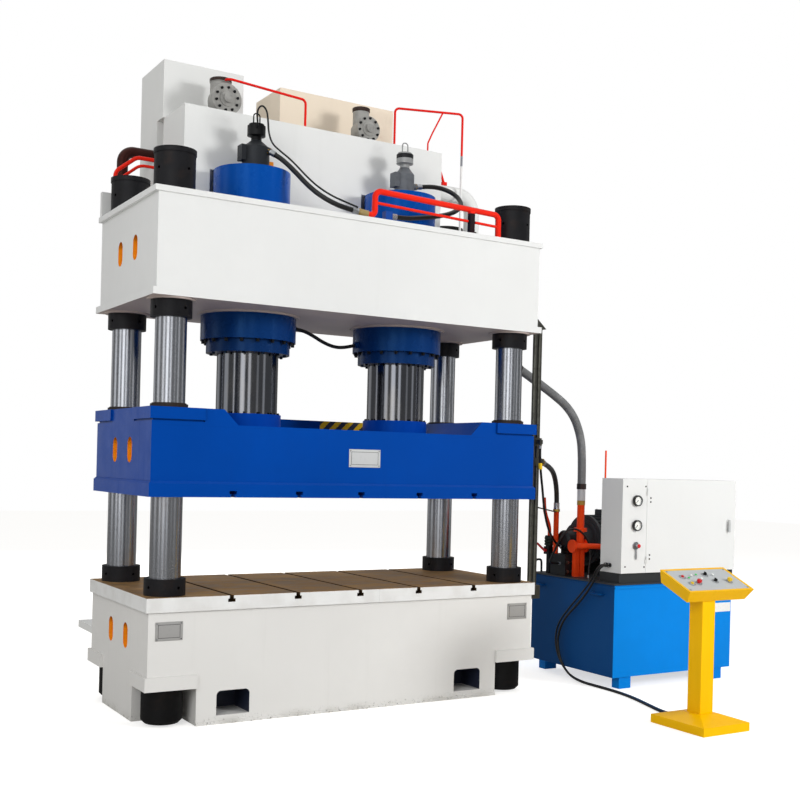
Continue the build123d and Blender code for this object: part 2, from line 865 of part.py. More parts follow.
with BuildPart() as rear_box_low:
    with BuildSketch(Plane.XY.offset(crown_top)):
        with Locations((low_box_left + low_box_length / 2, (low_box_front + tall_box_rear) / 2)):
            Rectangle(low_box_length, tall_box_rear - low_box_front)
    extrude(amount=low_box_top - crown_top)
save(rear_box_low.part, "rear_box_low")

# Cast valves on the filling tank
with BuildPart() as tank_valves:
    for place in valve_places:
        base = upright(place, valve_depth, tank_top)
        turned(((0, 0), (valve_flange_radius, 0), (valve_flange_radius, valve_flange_height),
                (valve_neck_radius, valve_flange_height), (valve_neck_radius, 60),
                (valve_body_radius, valve_disc_height - tank_top - 30),
                (valve_body_radius, valve_disc_height - tank_top + 20),
                (valve_stub_radius, valve_disc_height - tank_top + 50),
                (valve_stub_radius, valve_stub_top - tank_top - valve_rim_height),
                (valve_stub_radius + valve_rim, valve_stub_top - tank_top - valve_rim_height),
                (valve_stub_radius + valve_rim, valve_stub_top - tank_top), (0, valve_stub_top - tank_top)), base)
        with BuildSketch(facing_front(place, valve_depth, valve_disc_height)):
            Circle(valve_disc_radius - 18)
        extrude(amount=valve_disc_reach)
        with BuildSketch(facing_front(place, valve_depth - valve_disc_reach, valve_disc_height)):
            Circle(valve_disc_radius)
        extrude(amount=valve_disc_thickness)
    fitting(left_rail_route[0], left_rail_route[1], rail_boss_radius, rail_boss_length)
save(tank_valves.part, "tank_valves")

with BuildPart() as tank_rails:
    tube(left_rail_route, rail_radius, rail_curve)
    tube(right_rail_route, rail_radius, rail_curve)
    tube(branch_rail_route, branch_rail_radius, rail_curve)
save(tank_rails.part, "tank_rails")

# Prefill valves on the cylinder heads
with BuildPart() as prefill_valves:
    for side_name, place in cylinder_places.items():
        body_radius = prefill_radii[side_name]
        valve_top = prefill_head_low + prefill_head_height + prefill_cap_height
        turned(((0, 0), (body_radius + prefill_flange_proud, 0),
                (body_radius + prefill_flange_proud, prefill_flange_height), (body_radius, prefill_flange_height),
                (body_radius, prefill_body_height), (prefill_neck_radius, prefill_neck_low),
                (prefill_neck_radius, prefill_neck_high), (prefill_head_radius, prefill_head_low),
                (prefill_head_radius, prefill_head_low + prefill_head_height),
                (prefill_cap_radius, prefill_head_low + prefill_head_height), (prefill_cap_radius, valve_top),
                (0, valve_top)), upright(place, prefill_depth, barrel_top))
        with BuildSketch(facing_right(place - prefill_block[0] / 2 - body_radius, prefill_depth,
                                      barrel_top + prefill_block_height)):
            Rectangle(prefill_block[1], prefill_block[2])
        extrude(amount=prefill_block[0])
        loop_low = barrel_top + valve_top - prefill_cap_height
        loop_high = barrel_top + valve_top + prefill_loop_height
        half_loop = prefill_loop_width / 2
        tube(((place - half_loop, prefill_depth, loop_low), (place - half_loop, prefill_depth, loop_high),
              (place + half_loop, prefill_depth, loop_high), (place + half_loop, prefill_depth, loop_low)),
             prefill_loop_radius, prefill_loop_width * 0.46)
    for route in (prefill_hose_left_route, prefill_hose_right_route):
        fitting(route[0], route[1], prefill_port_radius, prefill_port_length)
save(prefill_valves.part, "prefill_valves")

# Steel pipes on the crown with their stand, and the port under it
port_tip = Vector(*main_hose_route[0])
port_corner = port_tip - (Vector(*main_hose_route[1]) - port_tip).normalized() * port_pipe_run
hose_end = prefill_hose_left_route[-1]
with BuildPart() as crown_pipes:
    tube([(x, front_pipe_depth, z) for x, z in front_pipe_route], front_pipe_radius, front_pipe_bends)
    rod((thin_pipe_start[0], front_pipe_depth, thin_pipe_start[1]),
        (thin_pipe_end[0], front_pipe_depth, thin_pipe_end[1]), thin_pipe_radius)
    fitting(hose_end, prefill_hose_left_route[-2], pipe_coupling_radius, front_pipe_route[0][0] - hose_end[0] + 8)
    for block, low, high in ((pipe_stand, crown_top, front_pipe_route[3][1]),
                             (pipe_stand_foot, crown_top, crown_top + pipe_stand_foot[2])):
        with BuildSketch(Plane.XY.offset(low)):
            with Locations((pipe_stand_place, front_pipe_depth)):
                Rectangle(block[0], block[1])
        extrude(amount=high - low)
    tube(rear_pipe_route, rear_pipe_radius, rear_pipe_curve)
    tube(inner_pipe_route, inner_pipe_radius, rear_pipe_curve)
    tube(loop_pipe_route, loop_pipe_radius, loop_pipe_curve)
    tube(((port_corner.X, port_corner.Y, crown_bottom), tuple(port_corner), main_hose_route[0]),
         port_pipe_radius, port_pipe_curve)
    with BuildSketch(Plane.XY.offset(crown_bottom)):
        with Locations((port_corner.X, port_corner.Y)):
            Circle(port_flange_radius)
    extrude(amount=-port_flange_height)
    with BuildSketch(Plane.XY.offset(crown_top)):
        with Locations((prefill_hose_right_route[-1][0] - hose_block[0] / 2, prefill_hose_right_route[-1][1])):
            Rectangle(hose_block[0], hose_block[1])
    extrude(amount=prefill_hose_right_route[-1][2] - crown_top + hose_block[2] / 2)
save(crown_pipes.part, "crown_pipes")

# Upright pipes at the right of the press with foot, head and tees
side_pipe_high = crown_bottom + crown_bottom_plate
with BuildPart() as side_pipes:
    for pipe_place, pipe_size in zip(side_pipe_places, side_pipe_radii):
        with BuildSketch(Plane.XY.offset(side_foot_high)):
            with Locations((pipe_place, side_pipe_depth)):
                Circle(pipe_size)
        extrude(amount=side_pipe_high - side_foot_high)
    bracket_low_x = bed_length / 2
    with BuildSketch(Plane.XY.offset(side_foot_low - 60)):
        with Locations(((bracket_low_x + side_bracket_right) / 2, side_pipe_depth)):
            Rectangle(side_bracket_right - bracket_low_x, side_bracket_width)
    extrude(amount=44)
    with BuildSketch(Plane.XY.offset(side_foot_low - 16)):
        with Locations(((table_length / 2 + 8 + side_bracket_right) / 2, side_pipe_depth)):
            Rectangle(side_bracket_right - table_length / 2 - 8, side_bracket_width)
    extrude(amount=side_foot_high - side_foot_low + 16)
    with BuildSketch(facing_front(0, side_pipe_depth + side_bracket_width / 2, 0)):
        with BuildLine():
            Polyline((crown_length / 2, side_pipe_high), (side_bracket_right, side_pipe_high),
                     (crown_length / 2, side_head_high), close=True)
        make_face()
    extrude(amount=side_bracket_width)
    for tee_level in side_tee_levels:
        with BuildSketch(Plane.XY.offset(tee_level - side_tee_height / 2)):
            with Locations((sum(side_pipe_places) / 2, side_pipe_depth)):
                Rectangle(side_pipe_places[1] - side_pipe_places[0] + 2 * side_pipe_radii[0] + 12,
                          2 * side_pipe_radii[0] + 10)
        extrude(amount=side_tee_height)
    fitting(return_hose_route[0], return_hose_route[1], return_hose_radius + fitting_proud, 54)
    fitting(pilot_hose_route[0], pilot_hose_route[1], pilot_hose_radius + fitting_proud, 30)
    with BuildSketch(Plane.XY.offset(pilot_hose_route[0][2] + 12)):
        with Locations((pilot_hose_route[0][0], (pilot_hose_route[0][1] + side_pipe_depth) / 2)):
            Rectangle(pilot_tee[0], side_pipe_depth - pilot_hose_route[0][1] + pilot_tee[0])
    extrude(amount=pilot_tee[1])
save(side_pipes.part, "side_pipes")

# Oil tank on its legs, with rim and lifting lug
with BuildPart() as oil_tank:
    tank_centre = (oil_tank_left + oil_tank_length / 2, oil_tank_front + oil_tank_depth / 2)
    with BuildSketch(Plane.XY.offset(oil_tank_low)):
        with Locations(tank_centre):
            Rectangle(oil_tank_length, oil_tank_depth)
    extrude(amount=oil_tank_high - oil_tank_low)
    with BuildSketch(Plane.XY.offset(oil_tank_high - rim_drop - rim_height)):
        with Locations(tank_centre):
            Rectangle(oil_tank_length + 2 * rim_proud, oil_tank_depth + 2 * rim_proud)
    extrude(amount=rim_height)
    with BuildSketch():
        with Locations(tank_centre):
            with GridLocations(oil_tank_length - 2 * leg_inset - leg_width, oil_tank_depth - leg_depth - 30, 2, 2):
                Rectangle(leg_width, leg_depth)
    extrude(amount=oil_tank_low)
    for lug_depth in (oil_tank_front + 190, oil_tank_front + oil_tank_depth - 120):
        tube(((oil_tank_left + 5, lug_depth - lug_span / 2, oil_tank_high - 90),
              (oil_tank_left - lug_reach, lug_depth - lug_span / 2, oil_tank_high - 90),
              (oil_tank_left - lug_reach, lug_depth + lug_span / 2, oil_tank_high - 90),
              (oil_tank_left + 5, lug_depth + lug_span / 2, oil_tank_high - 90)), lug_radius, 24)
save(oil_tank.part, "oil_tank")

with BuildPart() as tank_lid:
    with BuildSketch(Plane.XY.offset(oil_tank_high)):
        with Locations(tank_centre):
            Rectangle(oil_tank_length + 2 * lid_proud, oil_tank_depth + 2 * lid_proud)
    extrude(amount=lid_thickness)
save(tank_lid.part, "tank_lid")

# Electric motor, ribbed, on feet, with terminal box and fan cover
with BuildPart() as electric_motor:
    shaft = facing_right(motor_left, motor_depth, motor_height)
    shield_radius = motor_radius + fin_height
    turned(((0, 0), (shield_radius, 0), (shield_radius, motor_shield), (motor_radius, motor_shield),
            (motor_radius, motor_length), (shield_radius, motor_length),
            (shield_radius, motor_length + fan_cover_length * 0.8),
            (shield_radius * 0.82, motor_length + fan_cover_length), (0, motor_length + fan_cover_length)), shaft)
    with BuildSketch(shaft.offset(motor_shield)):
        with PolarLocations(motor_radius + fin_height / 2 - 4, fin_count):
            Rectangle(fin_height + 8, fin_thickness)
    extrude(amount=motor_length - motor_shield)
    foot_top = motor_height - motor_radius * 0.7
    with BuildSketch(Plane.XY.offset(lid_top)):
        with Locations((motor_left + motor_length / 2, motor_depth)):
            with GridLocations(1, motor_foot_pitch, 1, 2):
                Rectangle(motor_length * 0.7, motor_foot_width)
    extrude(amount=foot_top - lid_top)
    with BuildSketch(Plane.XY.offset(motor_height)):
        with Locations((motor_left + motor_length / 2, motor_depth)):
            Rectangle(terminal_box[0], terminal_box[1])
    extrude(amount=motor_radius + terminal_box[2] * 0.6)
save(electric_motor.part, "electric_motor")

with BuildPart() as bell_housing:
    bell_left = motor_left - bell_length
    turned(((pump_radius * 0.7, 0), (bell_radius, 0), (bell_radius, bell_length - bell_flange),
            (bell_flange_radius, bell_length - bell_flange), (bell_flange_radius, bell_length),
            (pump_radius * 0.7, bell_length)), facing_right(bell_left, motor_depth, motor_height))
save(bell_housing.part, "bell_housing")

# Pump, manifold, filter and ball valve
with BuildPart() as pump_block:
    turned(((0, 0), (pump_radius * 0.8, 0), (pump_radius, 24), (pump_radius, pump_length), (0, pump_length)),
           facing_right(bell_left - pump_length, motor_depth, motor_height))
    with BuildSketch(Plane.XY.offset(lid_top)):
        with Locations((manifold_left + manifold_length / 2, manifold_front + manifold_depth / 2)):
            Rectangle(manifold_length, manifold_depth)
    extrude(amount=manifold_height)
    with BuildSketch(Plane.XY.offset(lid_top + manifold_height)):
        with Locations((bell_left - pump_length / 2, motor_depth)):
            Rectangle(pump_length * 0.6, pump_radius)
    extrude(amount=motor_height - lid_top - manifold_height)
    with BuildSketch(Plane.XY.offset(lid_top)):
        with Locations(ball_valve_place):
            Circle(ball_stub_radius)
    extrude(amount=ball_valve_height - lid_top)
    with BuildSketch(Plane.XY.offset(ball_valve_height)):
        with Locations(ball_valve_place):
            Rectangle(ball_valve[0], ball_valve[1])
    extrude(amount=ball_valve[2])
    turned(filter_profile, upright(*ball_valve_place, ball_valve_height + ball_valve[2]))
    fitting(pilot_hose_route[-1], pilot_hose_route[-2], pilot_hose_radius + fitting_proud, 50)
save(pump_block.part, "pump_block")

lever_face = ball_valve_place[0] - ball_valve[0] / 2
lever_pivot = (lever_face - lever_gap, ball_valve_place[1], ball_valve_height + ball_valve[2] / 2)
with BuildPart() as valve_lever:
    lever_plane = Plane(lever_pivot, x_dir=(0, cos(radians(lever_tilt)), sin(radians(lever_tilt))), z_dir=(-1, 0, 0))
    with BuildSketch(lever_plane):
        Circle(lever_boss_radius)
    extrude(amount=lever_boss_length)
    with BuildSketch(lever_plane.offset(lever_boss_length - lever_thickness)):
        with Locations((lever_length / 2 - lever_boss_radius, 0)):
            SlotOverall(lever_length, lever_width)
    extrude(amount=lever_thickness)
save(valve_lever.part, "valve_lever")

# Red risers, header and mast on the power unit
with BuildPart() as oil_risers:
    with BuildSketch(facing_right(header_left, header_depth, header_height)):
        Circle(header_radius)
    extrude(amount=header_right - header_left)
    for flange_x in (header_left, header_right - header_flange):
        with BuildSketch(facing_right(flange_x, header_depth, header_height)):
            Circle(header_flange_radius)
        extrude(amount=header_flange)
    with BuildSketch(Plane.XY.offset(lid_top)):
        with Locations((header_left + 50, header_depth), (header_right - 50, header_depth)):
            Rectangle(header_post, header_post)
    extrude(amount=header_height - lid_top)
    riser_steps = ((0, 0), (riser_radius, 0), (riser_radius, riser_top - header_height),
                   (coupling_radius, riser_top - header_height), (coupling_radius, coupling_top - header_height),
                   (collar_radius, coupling_top - header_height), (collar_radius, collar_top - header_height),
                   (0, collar_top - header_height))
    turned(riser_steps, upright(riser_place, header_depth, header_height))
    with BuildSketch(Plane.XY.offset(riser_flange_height)):
        with Locations((riser_place, header_depth)):
            Circle(riser_flange_radius)
    extrude(amount=header_flange * 2)
    with BuildSketch(Plane.XY.offset(lid_top + manifold_height)):
        with Locations(return_riser_place):
            Circle(return_riser_radius)
    extrude(amount=return_riser_top - lid_top - manifold_height)
    with BuildSketch(Plane.XY.offset(lid_top)):
        with Locations(mast_place):
            Circle(mast_radius)
    extrude(amount=mast_top - lid_top)
save(oil_risers.part, "oil_risers")

# Electric cabinet: plinth, shell open behind the door, cable outlet
cabinet_right = cabinet_left + cabinet_length
cabinet_low = lid_top + plinth_height
door_left = cabinet_left + gauge_bay
with BuildPart() as cabinet_shell:
    with BuildSketch(Plane.XY.offset(lid_top)):
        with Locations(((cabinet_left + cabinet_right) / 2, (cabinet_front + cabinet_rear) / 2)):
            Rectangle(cabinet_length, cabinet_rear - cabinet_front)
    extrude(amount=cabinet_top - lid_top)
    with BuildSketch(facing_front(0, cabinet_front, 0)):
        with Locations(((door_left + cabinet_right) / 2, (cabinet_low + cabinet_top) / 2)):
            Rectangle(cabinet_right - door_left - 2 * door_ledge, cabinet_top - cabinet_low - 2 * door_ledge)
    extrude(amount=-(cabinet_rear - cabinet_front - sheet), mode=Mode.SUBTRACT)
    with BuildSketch(facing_front(0, cabinet_front, 0)):
        with Locations(((cabinet_left + door_left - door_gap) / 2, (cabinet_low + cabinet_top) / 2)):
            Rectangle(gauge_bay - door_gap, cabinet_top - cabinet_low)
    extrude(amount=door_thickness)
    hinge_place = (door_left - door_gap / 2, cabinet_front - door_thickness - hinge_radius)
    hinge_levels = (cabinet_low + hinge_inset, cabinet_top - hinge_inset)
    for hinge_level in hinge_levels:
        with BuildSketch(Plane.XY.offset(hinge_level - hinge_length / 2)):
            with Locations(hinge_place):
                Circle(hinge_radius)
            with Locations((hinge_place[0] - hinge_radius, hinge_place[1] + hinge_radius / 2)):
                Rectangle(2 * hinge_radius, hinge_radius)
        extrude(amount=hinge_length / 2 - hinge_gap)
    for route in (stand_cable_one_route, stand_cable_two_route):
        fitting(route[0], route[1], cabinet_outlet_radius, cabinet_outlet_length)
save(cabinet_shell.part, "cabinet_shell")

with BuildPart() as cabinet_door:
    with BuildSketch(facing_front(0, cabinet_front - hinge_gap, 0)):
        with Locations(((door_left + cabinet_right) / 2, (cabinet_low + cabinet_top) / 2)):
            Rectangle(cabinet_right - door_left, cabinet_top - cabinet_low)
    extrude(amount=door_thickness - hinge_gap)
    for hinge_level in hinge_levels:
        with BuildSketch(Plane.XY.offset(hinge_level + hinge_gap)):
            with Locations(hinge_place):
                Circle(hinge_radius)
            with Locations((hinge_place[0] + hinge_radius, hinge_place[1] + hinge_radius / 2)):
                Rectangle(2 * hinge_radius, hinge_radius)
        extrude(amount=hinge_length / 2)
    with BuildSketch(facing_front(handle_place[0], cabinet_front - door_thickness, handle_place[1])):
        Circle(handle_boss_radius)
    extrude(amount=handle_boss_height)
save(cabinet_door.part, "cabinet_door")

with BuildPart() as door_handle:
    handle_plane = facing_front(handle_place[0], cabinet_front - door_thickness - handle_boss_height - handle_gap,
                                handle_place[1])
    with BuildSketch(handle_plane):
        with Locations((0, -handle_length / 2 + handle_width / 2)):
            SlotOverall(handle_length, handle_width, rotation=90)
    extrude(amount=handle_thickness)
save(door_handle.part, "door_handle")

# Gauges with their dials set back, needles and the needle valve's knob
gauge_face = cabinet_front - door_thickness
with BuildPart() as gauge_cases:
    for gauge_height in gauge_heights:
        turned(((0, 0), (gauge_radius, 0), (gauge_radius, gauge_depth), (gauge_radius - gauge_rim, gauge_depth),
                (gauge_radius - gauge_rim, gauge_depth - gauge_recess), (0, gauge_depth - gauge_recess)),
               facing_front(gauge_place, gauge_face, gauge_height))
    with BuildSketch(facing_front(gauge_place, gauge_face, knob_height)):
        Circle(knob_seat_radius)
    extrude(amount=knob_seat_length)
save(gauge_cases.part, "gauge_cases")

for needle_name, gauge_height in zip(("upper", "lower"), gauge_heights):
    with BuildPart() as needle:
        dial_plane = facing_front(gauge_place, gauge_face - gauge_depth + gauge_recess - needle_gap, gauge_height)
        with BuildSketch(dial_plane):
            Circle(needle_hub)
            with Locations(Location((0, 0, 0), (0, 0, needle_turn))):
                with Locations((needle_length / 2 - 6, 0)):
                    Rectangle(needle_length, needle_width)
        extrude(amount=needle_thickness)
    save(needle.part, f"gauge_needle_{needle_name}")

with BuildPart() as needle_valve_knob:
    knob_plane = facing_front(gauge_place, gauge_face - knob_seat_length - handle_gap, knob_height)
    with BuildSketch(knob_plane):
        Circle(knob_stem)
    extrude(amount=knob_stem)
    with BuildSketch(knob_plane.offset(knob_stem)):
        RegularPolygon(knob_radius, 8)
    extrude(amount=knob_length - knob_stem)
save(needle_valve_knob.part, "needle_valve_knob")

# Control stand: base, raised plinth, post and tilted head with its cavity
panel_plane = Plane(head_centre, x_dir=(1, 0, 0), z_dir=(0, -sin(radians(head_tilt)), cos(radians(head_tilt))))
with BuildPart() as stand_body:
    with BuildSketch():
        with Locations(base_place):
            Rectangle(*base_size)
    extrude(amount=base_thickness)
    with BuildSketch(Plane.XY.offset(base_thickness)):
        with Locations(base_place):
            Rectangle(base_size[0] - 2, base_size[1] - 2)
    with BuildSketch(Plane.XY.offset(base_thickness + plinth_rise)):
        with Locations(base_place):
            Rectangle(post_size + 60, post_size + 60)
    loft()
    with BuildSketch(Plane.XY.offset(base_thickness)):
        with Locations(base_place):
            Rectangle(post_size, post_size)
    extrude(amount=head_centre[2] - head_depth * 0.6 - base_thickness)
    with BuildSketch(panel_plane.offset(-head_depth)):
        Rectangle(*head_lower_size)
    with BuildSketch(panel_plane):
        Rectangle(*head_size)
    loft()
    with BuildSketch(panel_plane):
        Rectangle(panel_size[0] + 2 * panel_gap, panel_size[1] + 2 * panel_gap)
    extrude(amount=-panel_recess, mode=Mode.SUBTRACT)
    with BuildSketch(panel_plane.offset(-panel_recess)):
        Rectangle(*head_cavity)
    extrude(amount=-head_cavity_depth, mode=Mode.SUBTRACT)
    for route in (stand_cable_one_route, stand_cable_two_route):
        fitting(route[-1], route[-2], cabinet_outlet_radius, cabinet_outlet_length)
save(stand_body.part, "stand_body")

plate_top = panel_plane.offset(panel_thickness - panel_recess)
push_places = (red_place, yellow_place, stop_place, ready_place)
selector_places = (selector_left_place, selector_right_place)
with BuildPart() as stand_panel:
    with BuildSketch(panel_plane.offset(-panel_recess)):
        Rectangle(*panel_size)
    extrude(amount=panel_thickness)
    with BuildSketch(plate_top):
        with Locations(*push_places, *selector_places):
            Circle(bezel_radius)
    extrude(amount=bezel_height)
    with BuildSketch(plate_top):
        with Locations(*lamp_places):
            Circle(lamp_radius)
    extrude(amount=lamp_height)
    with BuildSketch(plate_top.offset(bezel_height)):
        with Locations(*push_places, *selector_places):
            Circle(stem_radius + control_gap)
    extrude(amount=-bezel_height - panel_thickness, mode=Mode.SUBTRACT)
save(stand_panel.part, "stand_panel")

bezel_top = plate_top.offset(bezel_height)
for button_name, button_place in (("button_red", red_place), ("button_yellow", yellow_place)):
    with BuildPart() as button:
        with BuildSketch(plate_top.offset(-stem_depth)):
            with Locations(button_place):
                Circle(stem_radius)
        extrude(amount=stem_depth + bezel_height + button_rise)
    save(button.part, button_name)

for mushroom_name, mushroom_place in (("stop_mushroom", stop_place), ("ready_mushroom", ready_place)):
    with BuildPart() as mushroom:
        with BuildSketch(plate_top.offset(-stem_depth)):
            with Locations(mushroom_place):
                Circle(stem_radius)
        extrude(amount=stem_depth + bezel_height + mushroom_rise)
        with BuildSketch(bezel_top.offset(mushroom_rise)):
            with Locations(mushroom_place):
                Circle(mushroom_radius)
        extrude(amount=mushroom_height, taper=12)
    save(mushroom.part, mushroom_name)

for selector_name, selector_place in (("selector_left", selector_left_place), ("selector_right", selector_right_place)):
    with BuildPart() as selector:
        with BuildSketch(plate_top.offset(-stem_depth)):
            with Locations(selector_place):
                Circle(stem_radius)
        extrude(amount=stem_depth + bezel_height + control_gap)
        with BuildSketch(bezel_top.offset(control_gap)):
            with Locations(selector_place):
                Circle(selector_radius)
        extrude(amount=selector_rise)
        with BuildSketch(bezel_top.offset(control_gap + selector_rise)):
            with Locations(selector_place):
                Rectangle(selector_grip[0], selector_grip[1])
        extrude(amount=selector_grip[2])
    save(selector.part, selector_name)

# Hoses and cables
hose(prefill_hose_left_route, prefill_hose_radius, "prefill_hose_left")
hose(prefill_hose_right_route, prefill_hose_radius, "prefill_hose_right")
hose(crown_cable_route, crown_cable_radius, "crown_cable")
hose(main_hose_route, main_hose_radius, "main_hose")
hose(return_hose_route, return_hose_radius, "return_hose")
hose(pilot_hose_route, pilot_hose_radius, "pilot_hose")
hose(stand_cable_one_route, stand_cable_radius, "stand_cable_one")
hose(stand_cable_two_route, stand_cable_two_radius, "stand_cable_two")
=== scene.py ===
from math import asin, cos, pi, prod, radians, sin

import bmesh
import bpy
from mathutils import Matrix, Vector


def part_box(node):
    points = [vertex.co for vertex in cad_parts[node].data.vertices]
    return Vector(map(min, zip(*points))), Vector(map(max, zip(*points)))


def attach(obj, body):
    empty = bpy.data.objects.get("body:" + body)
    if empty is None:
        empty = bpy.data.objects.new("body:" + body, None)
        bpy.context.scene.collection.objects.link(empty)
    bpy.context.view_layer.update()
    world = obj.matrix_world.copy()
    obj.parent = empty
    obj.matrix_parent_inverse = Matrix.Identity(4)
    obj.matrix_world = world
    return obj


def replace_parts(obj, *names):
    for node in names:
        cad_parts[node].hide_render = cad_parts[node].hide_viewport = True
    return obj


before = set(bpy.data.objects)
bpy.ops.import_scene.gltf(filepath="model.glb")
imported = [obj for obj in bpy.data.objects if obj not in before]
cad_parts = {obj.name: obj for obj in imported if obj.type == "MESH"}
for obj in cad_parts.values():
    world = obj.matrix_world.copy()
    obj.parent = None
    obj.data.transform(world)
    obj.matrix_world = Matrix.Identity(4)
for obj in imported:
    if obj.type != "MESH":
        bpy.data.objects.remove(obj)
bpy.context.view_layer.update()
scene = bpy.context.scene
print("frame loaded:", len(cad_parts), "nodes")


# Camera

cameraView = {
    "place": (-4.114, -7.997, 1.851),
    "yaw": radians(31.2047),
    "roll": radians(1.4386),
    "focalPixels": 1118.33,
    "centreRow": 464.03,
    "frame": 800,
    "sensor": 36,
}


def placeCamera(view):
    data = bpy.data.cameras.new("camera")
    camera = bpy.data.objects.new("camera", data)
    scene.collection.objects.link(camera)
    level = Vector((cos(view["yaw"]), -sin(view["yaw"]), 0))
    forward = Vector((sin(view["yaw"]), cos(view["yaw"]), 0))
    right = level * cos(view["roll"]) + Vector((0, 0, 1)) * sin(view["roll"])
    up = Vector((0, 0, 1)) * cos(view["roll"]) - level * sin(view["roll"])
    turn = Matrix((right, up, -forward)).transposed()
    camera.matrix_world = Matrix.Translation(view["place"]) @ turn.to_4x4()
    data.sensor_width = view["sensor"]
    data.lens = view["focalPixels"] * view["sensor"] / view["frame"]
    data.shift_y = (view["centreRow"] - view["frame"] / 2) / view["frame"]
    data.clip_end = 200
    scene.camera = camera
    return level, forward


cameraRight, cameraForward = placeCamera(cameraView)
scene.view_settings.view_transform = "Standard"
print("camera placed")


# Shader tools

def paint(code):
    # linear colour from a six-figure colour code
    parts = [int(code[start:start + 2], 16) / 255 for start in (1, 3, 5)]
    linear = [part / 12.92 if part <= 0.04045 else ((part + 0.055) / 1.055) ** 2.4 for part in parts]
    return (*linear, 1)


def shaded(colour, factor):
    return (*[min(1, part * factor) for part in colour[:3]], 1)


def feed(tree, socket, value):
    if isinstance(value, Signal):
        tree.links.new(value.socket, socket)
    elif value is not None:
        socket.default_value = value


class Signal:
    # one socket of a node tree that can stand in sums and comparisons

    def __init__(self, tree, socket):
        self.tree = tree
        self.socket = socket

    def sum(self, operation, other=None, swapped=False):
        node = self.tree.nodes.new("ShaderNodeMath")
        node.operation = operation
        pair = (other, self) if swapped else (self, other)
        for socket, part in zip(node.inputs, pair):
            feed(self.tree, socket, part)
        return Signal(self.tree, node.outputs[0])

    def __add__(self, other):
        return self.sum("ADD", other)

    def __sub__(self, other):
        return self.sum("SUBTRACT", other)

    def __rsub__(self, other):
        return self.sum("SUBTRACT", other, True)

    def __mul__(self, other):
        return self.sum("MULTIPLY", other)

    def __truediv__(self, other):
        return self.sum("DIVIDE", other)

    def __rtruediv__(self, other):
        return self.sum("DIVIDE", other, True)

    def __lt__(self, other):
        return self.sum("LESS_THAN", other)

    def __gt__(self, other):
        return self.sum("GREATER_THAN", other)

    def __abs__(self):
        return self.sum("ABSOLUTE")

    def most(self, other):
        return self.sum("MAXIMUM", other)

    __radd__ = __add__
    __rmul__ = __mul__


class Nodes:
    # a node tree that is filled by one method

    def __init__(self, tree):
        self.tree = tree
        tree.nodes.clear()

    def add(self, kind, values=None, settings=None, output=0):
        node = self.tree.nodes.new(kind)
        for key, value in (settings or {}).items():
            setattr(node, key, value)
        for key, value in (values or {}).items():
            feed(self.tree, node.inputs[key], value)
        return Signal(self.tree, node.outputs[output]) if node.outputs else node

    def blend(self, factor, first, second):
        return self.add("ShaderNodeMix", {0: factor, 6: first, 7: second}, {"data_type": "RGBA"}, 2)

    def span(self, value, low, high):
        # 0 below low, 1 above high, smooth between
        return self.add("ShaderNodeMapRange", {"Value": value, "From Min": low, "From Max": high},
                        {"interpolation_type": "SMOOTHSTEP"})

    def split(self, vector):
        node = self.tree.nodes.new("ShaderNodeSeparateXYZ")
        feed(self.tree, node.inputs[0], vector)
        return [Signal(self.tree, socket) for socket in node.outputs]


shaderSockets = {"metallic": "Metallic", "specular": "Specular IOR Level", "tint": "Specular Tint",
                 "glow": "Emission Color", "glowStrength": "Emission Strength"}


class Finish(Nodes):
    # one material on object coordinates, with the colour and the wear that its layers build up

    def __init__(self, name, **constants):
        self.material = bpy.data.materials.new(name)
        self.material.use_nodes = True
        super().__init__(self.material.node_tree)
        self.shader = self.tree.nodes.new("ShaderNodeBsdfPrincipled")
        self.add("ShaderNodeOutputMaterial", {"Surface": Signal(self.tree, self.shader.outputs[0])})
        self.place = self.add("ShaderNodeTexCoord", output="Object")
        self.x, self.y, self.z = self.split(self.place)
        self.base = None
        self.worn = 0
        self.normal = None
        for key, value in constants.items():
            self.set(key, value)

    def set(self, key, value):
        feed(self.tree, self.shader.inputs[shaderSockets[key]], value)

    def noise(self, scale, detail=3, roughness=0.5, stretch=None):
        vector = self.place
        if stretch:
            vector = self.add("ShaderNodeMapping", {"Vector": self.place, "Scale": stretch})
        return self.add("ShaderNodeTexNoise",
                        {"Vector": vector, "Scale": scale, "Detail": detail, "Roughness": roughness})

    def patches(self, low, high, *noise):
        # mask of the places where the noise is strong
        return self.span(self.noise(*noise), low, high)

    def cover(self, mask, colour):
        # lays a colour code or a colour over what is there
        self.base = self.blend(mask, self.base, paint(colour) if isinstance(colour, str) else colour)

    def bump(self, height, depth):
        # depth is in metres
        self.normal = self.add("ShaderNodeBump", {"Strength": 1, "Distance": depth, "Height": height,
                                                  "Normal": self.normal})
        feed(self.tree, self.shader.inputs["Normal"], self.normal)

    def done(self, roughness):
        feed(self.tree, self.shader.inputs["Base Color"], self.base)
        feed(self.tree, self.shader.inputs["Roughness"], self.worn + roughness)
        return self.material


# Paints

